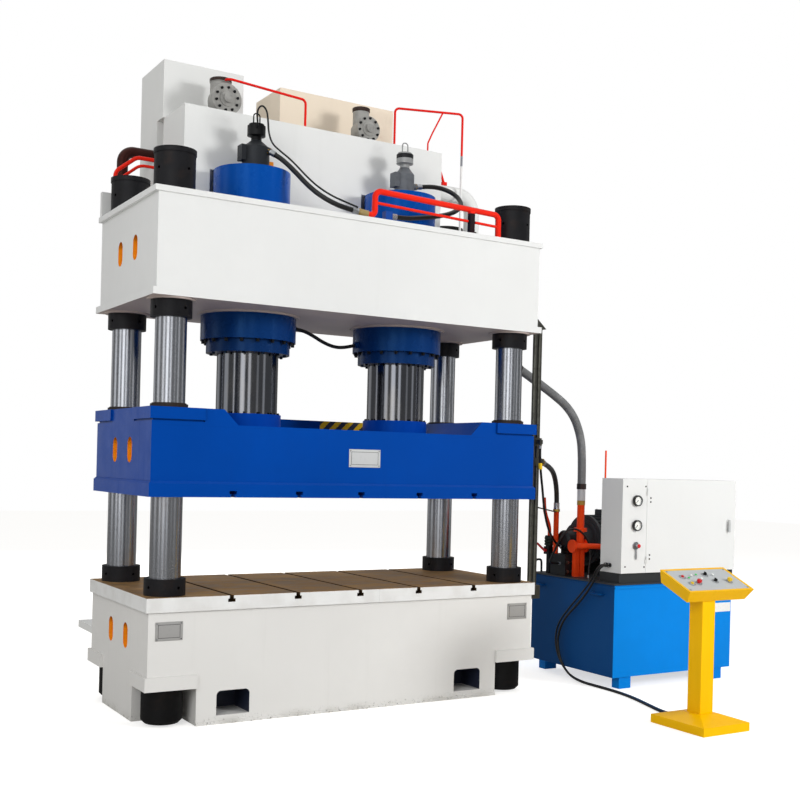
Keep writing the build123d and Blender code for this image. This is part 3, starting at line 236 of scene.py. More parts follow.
def paintedSteel(name, code, roughness, dirtiness, uneven, marks=None, dirt="#6f6a60", tint=(1, 1, 1, 1)):
    # sprayed enamel: orange peel, slow drift of tone, faint runs of dirt and small scuffs
    colour = paint(code)
    finish = Finish(name, specular=0.4, tint=tint)
    drift = finish.patches(0.3, 0.7, 0.9)
    fine = finish.patches(0.3, 0.7, 6, 4, 0.6)
    runs = finish.patches(0.55, 0.85, 1, 4, 0.6, (11, 11, 0.7))
    scuffs = finish.patches(0.68, 0.76, 34, 5, 0.7)
    finish.base = finish.blend(drift, shaded(colour, 1 - uneven), shaded(colour, 1 + uneven / 2))
    finish.cover(fine * 0.35, shaded(colour, 1 - uneven))
    finish.cover(runs * dirtiness * 0.35, dirt)
    finish.cover(scuffs * dirtiness * 0.5, dirt)
    finish.worn = runs * 0.10 + scuffs * 0.15 + fine * 0.06
    if marks:
        marks(finish)
    for noise, depth in (((420, 1), 0.00012), ((9,), 0.0008)):
        finish.bump(finish.noise(*noise), depth)
    return finish.done(roughness)


sheenFloor = 0.12


def deepPaint(name, code, roughness, dirtiness, uneven, marks=None, dirt="#0A2250"):
    # saturated enamel whose sheen keeps the colour
    colour = paint(code)[:3]
    deep = [sheenFloor + (1 - sheenFloor) * (part / max(colour)) ** 0.5 for part in colour]
    return paintedSteel(name, code, roughness, dirtiness, uneven, marks, dirt, (*deep, 1))


windowLevels = {"bed": (1.630, 0.582), "slide": (1.633, 1.906), "crown": (1.629, 3.350)}
windowShape = {"spacing": 0.173, "halfWidth": 0.053, "halfHeight": 0.092, "depth": 0.0605, "skin": 0.0008,
               "darkFrom": 0.03, "darkTo": 0.09}
pocketShape = {"place": 1.0, "halfWidth": 0.1255, "levels": (0.0605, 0.2325), "front": 0.6646}
splashes = (0.004, 0.07)
underside = (2.9478, 2.9602)
slideDeck = (2.0795, 2.0805)
backStripes = {"ends": (0.274, 0.740), "depths": (0.590, 0.6395), "low": 2.081}
stripe = {"pitch": 0.118, "wobble": 0.004}
plinthTop = 0.9745
# painted rim of the table: from here outwards, and up to its bright top; the slots are dark below theirs
tableRim = {"x": 1.6492, "y": 0.6792, "top": 0.8992, "slotTop": 0.8985}


def within(value, low, high):
    return (value > low) * (value < high)


def areas(*rows):
    # marks that colour the space between ranges of x, y and z; each row starts with its colour
    def marks(finish):
        for code, *ranges in rows:
            finish.cover(prod(within(getattr(finish, axis), low, high) for axis, low, high in ranges), code)
    return marks


def windowOrange(finish, body):
    # orange primer inside the side slots, painted darker towards their upper end as shade under the slot's top edge
    halfLength, level = windowLevels[body]
    across = abs(abs(finish.y) - windowShape["spacing"]) < windowShape["halfWidth"]
    tall = abs(finish.z - level) < windowShape["halfHeight"]
    deep = within(abs(finish.x), halfLength - windowShape["depth"], halfLength - windowShape["skin"])
    orange = finish.blend(finish.noise(30), paint("#F08A0A"), paint("#F7A823"))
    # painted shade: the upper end of each slot is darkened
    dark = finish.span(finish.z, level + windowShape["darkFrom"], level + windowShape["darkTo"])
    orange = finish.blend(dark * 0.65, orange, paint("#6E3A06"))
    finish.cover(across * tall * deep, orange)


def stripes(finish):
    phase = ((finish.x - finish.z + finish.noise(60) * stripe["wobble"]) / stripe["pitch"]).sum("FRACT")
    return finish.blend(phase > 0.5, paint("#F2C21C"), paint("#3B3F4C"))


def bedMarks(finish):
    # orange side slots, painted shade inside the pockets, splashes of dirt near the floor
    windowOrange(finish, "bed")
    pocket = abs(abs(finish.x) - pocketShape["place"]) < pocketShape["halfWidth"]
    pocket = pocket * within(finish.z, *pocketShape["levels"])
    # painted shade: the pockets' inner walls are coloured dark blue-grey
    finish.cover(pocket * (abs(finish.y) < pocketShape["front"]), "#23283A")
    near = 1 - finish.span(finish.z, *splashes)
    finish.cover(near * finish.patches(0.56, 0.64, 48, 6, 0.75) * 0.85, "#5A5852")
    finish.cover(near * finish.patches(0.35, 0.7, 5, 4) * 0.45, "#A9A69E")


def crownMarks(finish):
    # orange side slots; the underside is painted a darker grey-brown: painted shade under the crown, with the brown of
    # light thrown up from the table
    windowOrange(finish, "crown")
    # painted shade: the crown's underside darkened and browned as if lit only from the table below
    undersideShade = finish.blend(finish.noise(3, 4), paint("#AFA29E"), paint("#C3B4AD"))
    finish.cover(within(finish.z, *underside), undersideShade)


def slideMarks(finish):
    # orange side slots, striped paint inside the rear wall and oil on the deck
    windowOrange(finish, "slide")
    back = within(finish.x, *backStripes["ends"]) * within(finish.y, *backStripes["depths"])
    finish.cover(back * (finish.z > backStripes["low"]), stripes(finish))
    finish.cover(within(finish.z, *slideDeck) * finish.patches(0.4, 0.7, 5, 4) * 0.6, "#081226")


def plinthMarks(finish):
    # the plinth under the white shell is black
    low = finish.z < plinthTop
    finish.cover(low, "#303234")
    finish.worn = finish.worn + low * 0.1


# beyond every edge of the machine
far = 9

# the lower stretch of the right rail is grey, then painted with the crown
railMarks = areas(("#8C9196", ("x", 1.352, far), ("z", -far, 4.56)), ("#E9EAE8", ("x", 1.352, far), ("z", -far, 4.47)))
# crimped end of the main hose: brass ring, plated sleeve, dark collar
riserMarks = areas(*[(code, ("x", 2.390, 2.490), ("z", level, far))
                     for level, code in ((1.527, "#B08D45"), (1.566, "#C8CBCE"), (1.6672, "#2A2C2E"))])
# dark stand, blue hose block, dark loop pipe and end, brass coupling
crownPipeMarks = areas(
    ("#1B1C20", ("x", 0.950, 1.018), ("y", -0.622, -0.558), ("z", -far, 3.873)),
    ("#0B4A9C", ("x", 0.205, 0.2705), ("y", -0.56, -0.50), ("z", -far, 3.80)), ("#2C1D1B", ("y", 0.70, far)),
    ("#2B2D30", ("x", 1.3, far), ("z", -far, 2.9595)), ("#9C8A5E", ("x", -0.06, 0.030)))
# black cup on the left prefill valve, pale one on the right, dark band round it
prefillMarks = areas(
    ("#2B2E32", ("x", -far, 0)), ("#111214", ("x", -far, 0), ("z", 4.30, far)),
    ("#A2A4A4", ("x", 0, far), ("z", 4.30, far)), ("#232427", ("x", 0, far), ("z", 4.375, 4.412)))
# machined rim on top of each tank valve
valveMarks = areas(("#3A2B26", ("z", 4.8425, far)))
# the flange under the crown is painted a darker blue than the head: painted shade under the crown
cylinderFlangeShade = areas(("#0A3068", ("z", -far, 2.9595)))
# black heads of the screws under the gland rings
glandMarks = areas(("#0C0D10", ("z", -far, 2.6626)))
# the end wall beside the pump is painted a darker blue: painted shade on the side away from the light
tankEndShade = areas(("#06407C", ("x", -far, 2.3032), ("z", -far, 0.879)))
# the filter's bowl stands out of the black castings
pumpMarks = areas(("#2E3A36", ("y", -0.045, 0.045), ("z", 1.144, 1.222)))


def tableSteel(name):
    # oiled, scraped cast plates with brown stains; their outer edges are painted
    finish = Finish(name, tint=(0.75, 0.6, 0.45, 1))
    pools = finish.patches(0.42, 0.62, 4.5, 5, 0.65, (1, 1.8, 1))
    passes = finish.noise(1, 2, 0.5, (14, 260, 1))
    finish.base = paint("#94704A")
    finish.cover(finish.patches(0.3, 0.7, 1.6, 5, 0.6, (1, 2.2, 1)), "#AA814E")
    finish.cover(pools * 0.6, "#625042")
    finish.cover(finish.patches(0.5, 0.75, 2.6, 4, 0.6, (1, 3.5, 1)) * 0.5, "#BA9152")
    finish.cover(passes * 0.3, "#B3956C")
    skin = (abs(finish.x) > tableRim["x"]).most(abs(finish.y) > tableRim["y"]) * (finish.z < tableRim["top"])
    finish.cover((finish.z < tableRim["slotTop"]) * (1 - skin) * 0.85, "#211A15")
    finish.cover(skin, finish.blend(finish.patches(0.4, 0.7, 7, 4), paint("#E2E3E2"), paint("#D9D9D7")))
    finish.set("metallic", (1 - skin) * 0.15)
    finish.worn = pools * -0.14 + passes * 0.10 + skin * -0.04
    finish.bump(passes, 0.00008)
    finish.bump(finish.noise(60), 0.0001)
    return finish.done(0.42)


def hazardPaint(name):
    # yellow and black slanted stripes, chipped
    finish = Finish(name, specular=0.4)
    chips = finish.patches(0.66, 0.70, 46, 5, 0.7)
    finish.base = stripes(finish)
    finish.cover(chips * 0.8, "#8E8F92")
    finish.cover(finish.patches(0.4, 0.8, 8, 4) * 0.2, "#6E6552")
    finish.worn = chips * 0.2
    finish.bump(chips, 0.0003)
    return finish.done(0.4)


# Metals, plastics and hose covers: noises and patches lie over the colour, as another colour or a shade of it

recipes = {
    # ground and plated bar: fine rings, thin oil film in patches
    "chrome": {
        "constants": {"metallic": 1}, "noises": {"rings": (1, 2, 0.6, (3, 3, 420))},
        "patches": {"film": (0.45, 0.75, 3.2, 4, 0.6, (2, 2, 0.5))}, "covers": (("film", 0.35, "#A9A39A"),),
        "wear": {"rings": 0.05, "film": 0.07}, "bump": ("rings", 0.00003)},
    # blued nuts: turning rings, handling marks, rust and a few bright nicks
    "blackened": {
        "constants": {"metallic": 0.3, "specular": 0.4}, "noises": {"rings": (1, 3, 0.6, (2, 2, 300))},
        "patches": {"hands": (0.45, 0.7, 9, 5, 0.65), "rust": (0.52, 0.72, 5, 5, 0.65),
                    "nicks": (0.70, 0.76, 70, 4, 0.7)},
        "covers": (("hands", 0.5, 2), ("rust", 0.3, "#3A2A20"), ("nicks", 0.6, "#6B6862")),
        "wear": {"hands": 0.16, "rings": 0.08}, "bump": ("rings", 0.00012)},
    # sand-cast body with a rough skin, oily in its hollows
    "cast": {
        "constants": {"metallic": 0.6}, "noises": {"skin": (120, 4, 0.65)},
        "patches": {"oil": (0.42, 0.7, 14, 5, 0.6)}, "covers": (("oil", 0.6, 0.55),),
        "wear": {"skin": 0.2, "oil": -0.15}, "bump": ("skin", 0.0006)},
    # machined fittings, bright with fine tool marks
    "turned": {
        "constants": {"metallic": 1}, "noises": {"marks": (260, 2, 0.6)},
        "patches": {"stain": (0.45, 0.75, 26, 4)}, "covers": (("stain", 0.5, 0.6),),
        "wear": {"marks": 0.12, "stain": 0.14}, "bump": ("marks", 0.00005)},
    # extruded cover with a faint cloth wrap and dust on it
    "hose": {
        "constants": {"specular": 0.55}, "noises": {"wrap": (900, 1)},
        "patches": {"dust": (0.5, 0.8, 7, 5, 0.65), "rub": (0.6, 0.8, 40, 4)},
        "covers": (("dust", 0.3, 3), ("rub", 0.2, 4)), "wear": {"dust": 0.18, "wrap": 0.06},
        "bump": ("wrap", 0.0002)},
    "plastic": {
        "constants": {"specular": 0.5}, "noises": {"grain": (700, 2)},
        "patches": {"touch": (0.45, 0.75, 60, 4)}, "covers": (("touch", 0.3, 0.75),),
        "wear": {"touch": 0.15, "grain": 0.05}, "bump": ("grain", 0.00005)},
    # brushed plate, lightly marked
    "sheet": {
        "constants": {"metallic": 0.35}, "noises": {"brush": (1, 3, 0.6, (30, 30, 900))},
        "patches": {"marks": (0.55, 0.75, 30, 5, 0.7)}, "covers": (("marks", 0.3, 0.75),),
        "wear": {"brush": 0.2, "marks": 0.1}, "bump": ("brush", 0.00006)},
}


def treated(kind, name, code, roughness, marks=None, shade=None, changes=None):
    recipe = recipes[kind]
    colour = paint(code)
    finish = Finish(name, **{**recipe["constants"], **(changes or {})})
    masks = {label: finish.noise(*noise) for label, noise in recipe["noises"].items()}
    masks.update({label: finish.patches(*noise) for label, noise in recipe["patches"].items()})
    finish.base = colour
    for label, share, over in recipe["covers"]:
        finish.cover(masks[label] * share, over if isinstance(over, str) else shaded(colour, shade or over))
    for label, share in recipe["wear"].items():
        finish.worn = masks[label] * share + finish.worn
    if marks:
        marks(finish)
    label, depth = recipe["bump"]
    finish.bump(masks[label], depth)
    return finish.done(roughness)


# Every finish: colour and roughness; a paint adds dirtiness, unevenness, marks and dirt,
# and a treatment its marks, the shade of its patches and other constants

paints = {
    paintedSteel: {
        "whitePaint": ("#E2E3E1", 0.38, 0.12, 0.03), "bedPaint": ("#DEDDDA", 0.40, 0.18, 0.035, bedMarks),
        "crownPaint": ("#DFE0DF", 0.38, 0.12, 0.03, crownMarks), "creamPaint": ("#EADCC8", 0.42, 0.12, 0.03),
        "cabinetPaint": ("#DEDFDE", 0.40, 0.08, 0.02),
        "cabinetShellPaint": ("#DEDFDE", 0.40, 0.08, 0.02, plinthMarks),
        "motorPaint": ("#34373B", 0.42, 0.4, 0.12, None, "#4C4A46")},
    deepPaint: {
        "slidePaint": ("#00409C", 0.34, 0.25, 0.10, slideMarks),
        "cylinderPaint": ("#0448A0", 0.24, 0.25, 0.10, cylinderFlangeShade),
        # the gland rings' blue is darker than the cylinders': painted shade under the crown
        "glandShadedPaint": ("#0A2C5E", 0.24, 0.25, 0.10, glandMarks), "ringPaint": ("#003C9E", 0.30, 0.25, 0.10),
        "tankPaint": ("#0080DA", 0.38, 0.25, 0.08, tankEndShade, "#0A2C5A"),
        "standPaint": ("#FAC000", 0.38, 0.22, 0.06, None, "#8A5A00"),
        "pipePaint": ("#EC2A1A", 0.30, 0.35, 0.10, crownPipeMarks, "#5E120C"),
        "railPaint": ("#EC241C", 0.30, 0.35, 0.10, railMarks, "#5E120C"),
        "riserPaint": ("#FF4C1C", 0.32, 0.35, 0.10, riserMarks, "#5E120C")},
}
treatments = {
    "chrome": {"columnChrome": ("#BDC0C7", 0.19), "ramChrome": ("#7A7D84", 0.07)},
    "blackened": {"nutBlack": ("#17171A", 0.42), "footNutBlack": ("#0A0A0B", 0.5, None, 1.6),
                  "boltBlack": ("#141518", 0.36)},
    "cast": {"valveGrey": ("#A9A8A4", 0.44, valveMarks, None, {"metallic": 0.3}),
             "valveBody": ("#6E7277", 0.42, prefillMarks, None, {"metallic": 0.4}),
             "pumpBlack": ("#2A2D30", 0.40, pumpMarks)},
    "turned": {"bronze": ("#A8783A", 0.32), "brass": ("#C9A24A", 0.26), "zincPlate": ("#C7CACD", 0.22),
               "steelPipe": ("#77776F", 0.38), "gaugeSteel": ("#B4B8BC", 0.2)},
    "hose": {"blackHose": ("#101010", 0.30), "greyHose": ("#6C6D6E", 0.40), "darkHose": ("#232425", 0.34),
             "cableBlack": ("#0C0D0E", 0.34)},
    "plastic": {"wiperTan": ("#2A201B", 0.5), "needleBlack": ("#121212", 0.4), "sleeveYellow": ("#E6BE18", 0.4),
                "dialWhite": ("#EDEEEA", 0.5), "handleGrey": ("#B9BBBB", 0.35), "redPlastic": ("#D0141C", 0.28),
                "yellowPlastic": ("#EFC51B", 0.28), "blackPlastic": ("#0D0E10", 0.3),
                "orangePlastic": ("#E58A12", 0.35), "labelWhite": ("#E4E4E0", 0.5),
                "greenLamp": ("#3FB45B", 0.2, None, None, {"glow": paint("#3FB45B"), "glowStrength": 0.2}),
                "whiteLamp": ("#E8EBE6", 0.2, None, None, {"glow": paint("#E8EBE6"), "glowStrength": 0.1})},
    "sheet": {"plateGrey": ("#B4B3B1", 0.34), "platePale": ("#DADCDD", 0.34), "panelGrey": ("#CDD1D2", 0.34)},
}
finishes = {"tableFinish": tableSteel("tableFinish"), "hazard": hazardPaint("hazard")}
for maker, rows in paints.items():
    for name, values in rows.items():
        finishes[name] = maker(name, *values)
for kind, rows in treatments.items():
    for name, values in rows.items():
        finishes[name] = treated(kind, name, *values)
print("finishes made:", len(finishes))

nodeFinishes = {
    "bedPaint": "bed_frame", "whitePaint": "bed_step rear_platform filling_tank rear_box_tall",
    "tableFinish": "bolster_plates", "nutBlack": "clamp_nuts top_nuts", "footNutBlack": "foot_nuts",
    "crownPaint": "crown_beam", "cylinderPaint": "cylinder_left cylinder_right", "glandShadedPaint": "gland_rings",
    "columnChrome": "column_front_left column_rear_left column_front_right column_rear_right",
    "ramChrome": "ram_left ram_right", "ringPaint": "ram_rings", "slidePaint": "slide_beam",
    "bronze": "slide_bushes", "wiperTan": "slide_wipers", "hazard": "stop_bar", "creamPaint": "rear_box_low",
    "valveGrey": "tank_valves", "railPaint": "tank_rails", "valveBody": "prefill_valves",
    "pipePaint": "crown_pipes", "steelPipe": "side_pipes", "tankPaint": "oil_tank",
    "motorPaint": "tank_lid electric_motor bell_housing", "pumpBlack": "pump_block", "riserPaint": "oil_risers",
    "redPlastic": "valve_lever button_red stop_mushroom", "cabinetShellPaint": "cabinet_shell",
    "cabinetPaint": "cabinet_door", "handleGrey": "door_handle", "gaugeSteel": "gauge_cases",
    "needleBlack": "gauge_needle_upper gauge_needle_lower", "zincPlate": "needle_valve_knob",
    "standPaint": "stand_body", "panelGrey": "stand_panel", "yellowPlastic": "button_yellow ready_mushroom",
    "blackPlastic": "selector_left selector_right",
}
for finish, nodeNames in nodeFinishes.items():
    for nodeName in nodeNames.split():
        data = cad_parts[nodeName].data
        data.materials.clear()
        data.materials.append(finishes[finish])
print("finishes given to the solids")


# Mesh tools

weldDistance = 0.000005
smoothAngle = radians(32)


def facing(axis):
    # turn that carries +Z onto an axis
    return Vector((0, 0, 1)).rotation_difference(Vector(axis)).to_matrix().to_4x4()


def lathe(form, profile, place, axis=(0, 0, 1), sides=32):
    # revolves points of radius and height about an axis through a place
    turn = Matrix.Translation(place) @ facing(axis)
    rings = []
    for radius, height in profile:
        steps = sides if radius > 0 else 1
        angles = [2 * pi * step / sides for step in range(steps)]
        rings.append([form.verts.new(turn @ Vector((radius * cos(angle), radius * sin(angle), height)))
                      for angle in angles])
    for lower, upper in zip(rings, rings[1:]):
        if len(lower) == len(upper) == 1:
            continue
        for step in range(sides):
            after = (step + 1) % sides
            corners = (lower[step % len(lower)], lower[after % len(lower)],
                       upper[after % len(upper)], upper[step % len(upper)])
            form.faces.new(list(dict.fromkeys(corners)))


def brick(form, low, high, bevel=0.0, turn=None):
    # block between two corners, with its edges rounded off
    low = Vector(low)
    high = Vector(high)
    made = bmesh.ops.create_cube(form, size=1)
    for vertex in made["verts"]:
        vertex.co = Vector((low[axis] + (vertex.co[axis] + 0.5) * (high[axis] - low[axis]) for axis in range(3)))
        if turn:
            vertex.co = turn @ vertex.co
    if bevel:
        edges = {edge for vertex in made["verts"] for edge in vertex.link_edges}
        bmesh.ops.bevel(form, geom=list(edges), offset=bevel, segments=2, profile=0.7, affect="EDGES")


def dress(piece, finish, body="root"):
    # gives an object its finish and its body
    if piece.data.materials:
        piece.data.materials[0] = finishes[finish]
    else:
        piece.data.materials.append(finishes[finish])
    scene.collection.objects.link(piece)
    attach(piece, body)
    return piece


def finishForm(name, form, finish, body="root", flat=False):
    # turns a bmesh into a piece with outward faces and clean shading
    bmesh.ops.remove_doubles(form, verts=form.verts, dist=weldDistance)
    bmesh.ops.recalc_face_normals(form, faces=form.faces)
    data = bpy.data.meshes.new(name)
    form.to_mesh(data)
    form.free()
    if not flat:
        data.shade_smooth()
        data.set_sharp_from_angle(angle=smoothAngle)
    return dress(bpy.data.objects.new(name, data), finish, body)


def turnedPiece(name, profile, places, axis, finish, body="root", sides=32):
    # the same turned form at one or more places
    form = bmesh.new()
    for place in places:
        lathe(form, profile, place, axis, sides)
    return finishForm(name, form, finish, body)


def block(name, low, high, bevel, finish, body="root", flat=False):
    form = bmesh.new()
    brick(form, low, high, bevel)
    return finishForm(name, form, finish, body, flat)


def metres(route):
    return [tuple(part / 1000 for part in place) for place in route]


def roundLine(name, route, radius, roundness, steps):
    # round bar along a smooth line
    data = bpy.data.curves.new(name, "CURVE")
    data.dimensions = "3D"
    data.bevel_depth = radius
    data.bevel_resolution = roundness
    data.use_fill_caps = True
    spline = data.splines.new("NURBS")
    spline.points.add(len(route) - 1)
    for point, place in zip(spline.points, route):
        point.co = (*place, 1)
    spline.order_u = min(3, len(route))
    spline.use_endpoint_u = True
    spline.resolution_u = steps
    return data


def wire(name, route, radius, finish):
    # stiff bar along a route in millimetres, kept as a mesh
    bar = bpy.data.objects.new(name + "Line", roundLine(name, metres(route), radius, 4, 8))
    mesh = bpy.data.meshes.new_from_object(bar)
    bpy.data.objects.remove(bar)
    mesh.shade_smooth()
    mesh.set_sharp_from_angle(angle=smoothAngle)
    return dress(bpy.data.objects.new(name, mesh), finish)


# Geometry Nodes: a screw head with its washer on each marked point

boltShape = {"headShare": 0.5, "washerShare": 0.62, "washerSides": 20}


def growBolts():
    group = bpy.data.node_groups.new("boltsOnPoints", "GeometryNodeTree")
    for label, kind in (("Form", "Geometry"), ("Across", "Float"), ("Height", "Float"), ("Sides", "Int"),
                        ("Washer", "Float"), ("Finish", "Material")):
        group.interface.new_socket(label, in_out="INPUT", socket_type="NodeSocket" + kind)
    group.interface.new_socket("Form", in_out="OUTPUT", socket_type="NodeSocketGeometry")
    tree = Nodes(group)
    given = {socket.name: Signal(group, socket) for socket in group.nodes.new("NodeGroupInput").outputs}
    across = given["Across"]
    height = given["Height"]
    washer = given["Washer"]

    def cylinder(sides, radius, depth, level):
        bar = tree.add("GeometryNodeMeshCylinder", {"Vertices": sides, "Radius": radius, "Depth": depth})
        up = tree.add("ShaderNodeCombineXYZ", {"Z": level})
        return tree.add("GeometryNodeTransform", {"Geometry": bar, "Translation": up})

    head = cylinder(given["Sides"], across * boltShape["headShare"], height, height * 0.5 + washer)
    ring = cylinder(boltShape["washerSides"], across * boltShape["washerShare"], washer, washer * 0.5)
    both = tree.add("GeometryNodeJoinGeometry", {"Geometry": head})
    group.links.new(ring.socket, both.socket.node.inputs["Geometry"])
    way = tree.add("GeometryNodeInputNamedAttribute", {"Name": "facing"}, {"data_type": "FLOAT_VECTOR"})
    turn = tree.add("FunctionNodeAlignRotationToVector", {"Vector": way}, {"axis": "Z"})
    placed = tree.add("GeometryNodeInstanceOnPoints", {"Points": given["Form"], "Instance": both, "Rotation": turn})
    real = tree.add("GeometryNodeRealizeInstances", {"Geometry": placed})
    coloured = tree.add("GeometryNodeSetMaterial", {"Geometry": real, "Material": given["Finish"]})
    tree.add("NodeGroupOutput", {0: coloured})
    return group


boltTree = growBolts()
roundHead = 16
thinWasher = 0.001


def bolts(name, places, way, finish, across, height, body="root", sides=6, washer=0.002):
    # runs the tree on marked points that face one way and keeps its result as one plain piece
    data = bpy.data.meshes.new(name + "Marks")
    data.from_pydata([tuple(place) for place in places], [], [])
    for item in data.attributes.new("facing", "FLOAT_VECTOR", "POINT").data:
        item.vector = way
    marks = bpy.data.objects.new(name + "Marks", data)
    scene.collection.objects.link(marks)
    modifier = marks.modifiers.new("grown", "NODES")
    modifier.node_group = boltTree
    sizes = {"Across": across, "Height": height, "Sides": sides, "Washer": washer, "Finish": finishes[finish]}
    for item in boltTree.interface.items_tree:
        if item.in_out == "INPUT" and item.name in sizes:
            modifier[item.identifier] = sizes[item.name]
    graph = bpy.context.evaluated_depsgraph_get()
    mesh = bpy.data.meshes.new_from_object(marks.evaluated_get(graph), depsgraph=graph)
    marks.modifiers.clear()
    bpy.data.objects.remove(marks)
    return dress(bpy.data.objects.new(name, mesh), finish, body)


# Hoses and cables, on the same points as in the solids, in millimetres

hoses = {
    "prefill_hose_left": {
        "radius": 0.019, "length": 0.881, "finish": "blackHose", "slot": "hose_black", "stiffness": "stiff",
        "route": ((-586, -150, 4206), (-545, -200, 4170), (-500, -262, 4110), (-455, -330, 4035), (-408, -400, 3950),
                  (-348, -470, 3870), (-262, -533, 3804), (-160, -575, 3763), (-50, -590, 3748))},
    "prefill_hose_right": {
        "radius": 0.019, "length": 1.439, "finish": "blackHose", "slot": "hose_black", "stiffness": "stiff",
        "route": ((785, -60, 4163), (862, -60, 4177), (946, -69, 4187), (1032, -96, 4177), (1092, -148, 4140),
                  (1112, -218, 4080), (1088, -288, 4015), (1022, -344, 3955), (926, -390, 3904), (808, -428, 3862),
                  (674, -460, 3826), (536, -490, 3796), (400, -530, 3766), (270, -530, 3766))},
    "crown_cable": {
        "radius": 0.014, "length": 0.561, "finish": "cableBlack", "slot": "cable_black", "stiffness": "medium",
        "route": ((-272, 0, 2898), (-200, 3, 2890), (-110, 8, 2858), (-10, 8, 2808), (90, 3, 2778), (185, -2, 2784),
                  (266, 0, 2806))},
    "main_hose": {
        "radius": 0.037, "length": 1.310, "finish": "greyHose", "slot": "hose_grey", "stiffness": "stiff",
        "route": ((1760, -261, 2692), (2055, -280, 2534), (2310, -296, 2370), (2420, -305, 2150),
                  (2440, -309, 1930), (2440, -309, 1716))},
    "return_hose": {
        "radius": 0.022, "length": 0.930, "finish": "darkHose", "slot": "hose_grey", "stiffness": "stiff",
        "route": ((1790, -555, 1897), (1913, -456, 1877), (2042, -347, 1853), (2154, -252, 1822),
                  (2243, -176, 1765), (2304, -124, 1682), (2335, -97, 1580), (2335, -97, 1480))},
    "pilot_hose": {
        "radius": 0.010, "length": 1.268, "finish": "blackHose", "slot": "hose_black", "stiffness": "medium",
        "route": ((1714, -625, 2034), (1714, -625, 1926), (1738, -612, 1800), (1786, -580, 1660),
                  (1850, -520, 1530), (1940, -440, 1410), (2050, -345, 1310), (2170, -255, 1230),
                  (2270, -190, 1170), (2338, -165, 1146))},
    "stand_cable_one": {
        "radius": 0.010, "length": 2.812, "finish": "cableBlack", "slot": "cable_black", "stiffness": "medium",
        "route": ((2352, -790, 1035), (2310, -790, 1038), (2270, -786, 1022), (2245, -776, 985), (2236, -754, 925),
                  (2233, -706, 850), (2231, -620, 750), (2230, -510, 650), (2230, -400, 560), (2231, -318, 455),
                  (2233, -280, 335), (2236, -300, 215), (2240, -360, 110), (2244, -460, 40), (2250, -600, 14),
                  (2256, -780, 11), (2254, -960, 11), (2236, -1140, 11), (2196, -1310, 11), (2142, -1480, 11),
                  (2086, -1650, 11), (2040, -1800, 12), (2016, -1920, 22))},
    "stand_cable_two": {
        "radius": 0.008, "length": 2.854, "finish": "cableBlack", "slot": "cable_black", "stiffness": "medium",
        "route": ((2352, -748, 1035), (2316, -748, 1038), (2284, -745, 1024), (2263, -737, 995), (2256, -716, 948),
                  (2253, -668, 880), (2253, -580, 790), (2254, -470, 690), (2256, -360, 590), (2256, -262, 480),
                  (2254, -222, 360), (2254, -244, 230), (2260, -310, 120), (2266, -420, 42), (2276, -570, 12),
                  (2286, -760, 9), (2284, -950, 9), (2264, -1130, 9), (2226, -1300, 9), (2172, -1470, 9),
                  (2116, -1640, 9), (2076, -1790, 11), (2058, -1920, 20))},
}


def layHose(name, hose):
    route = metres(hose["route"])
    data = roundLine(name + "_line", route, hose["radius"], 6, 14)
    piece = dress(bpy.data.objects.new(name + "_look", data), hose["finish"])
    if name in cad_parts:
        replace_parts(piece, name)


for nodeName, hose in hoses.items():
    layHose(nodeName, hose)
print("hoses laid:", len(hoses))


# Hose ends: crimped sleeve and hexagon nut, in line with the hose; sizes in hose radii

hoseEnd = {"bore": 0.7, "grip": 1.22, "crimp": 0.06, "reach": 2.6, "lip": 1.02, "nut": 1.45, "nutBore": 0.5,
           "nutLength": 1.1,
           # shares of the sleeve's length, and of the nut's radius and length
           "collar": 0.12, "crimps": (0.16, 0.35, 0.54, 0.73), "crimpEnds": (0.12, 0.15, 0.17), "last": 0.97,
           "nutFace": 0.9, "nutEdges": (0.12, 0.88)}


def endHose(name, hose):
    # the sleeve covers the last stretch of hose and the nut sits beyond it
    route = metres(hose["route"])
    bore, grip, crimp, reach, lip, nut, nutBore, length = [hose["radius"] * hoseEnd[key] for key in (
        "bore", "grip", "crimp", "reach", "lip", "nut", "nutBore", "nutLength")]
    sleeve = [(bore, 0), (grip, 0), (grip, reach * hoseEnd["collar"])]
    for share in hoseEnd["crimps"]:
        low, rise, top = [reach * (share + end) for end in hoseEnd["crimpEnds"]]
        sleeve += [(grip - crimp, reach * share), (grip - crimp, low), (grip, rise), (grip, top)]
    sleeve += [(grip, reach * hoseEnd["last"]), (lip, reach), (bore, reach), (bore, 0)]
    face = nut * hoseEnd["nutFace"]
    low, high = [length * share for share in hoseEnd["nutEdges"]]
    hexagon = [(nutBore, 0), (face, 0), (nut, low), (nut, high), (face, length), (nutBore, length), (nutBore, 0)]
    for label, tip, inner in (("_start", route[0], route[1]), ("_end", route[-1], route[-2])):
        inward = (Vector(inner) - Vector(tip)).normalized()
        turnedPiece(name + label + "_sleeve", sleeve, [tip], inward, "zincPlate")
        turnedPiece(name + label + "_nut", hexagon, [tip], -inward, "brass", sides=6)


for nodeName in ("prefill_hose_left", "prefill_hose_right", "return_hose", "pilot_hose"):
    endHose(nodeName, hoses[nodeName])
print("hose ends made")


# Filling tank: its front stays flat above the cylinder heads

tankFill = {"places": (-0.667, 0.667), "radius": 0.325, "face": 0.150, "low": 4.083, "high": 4.555, "steps": 28}


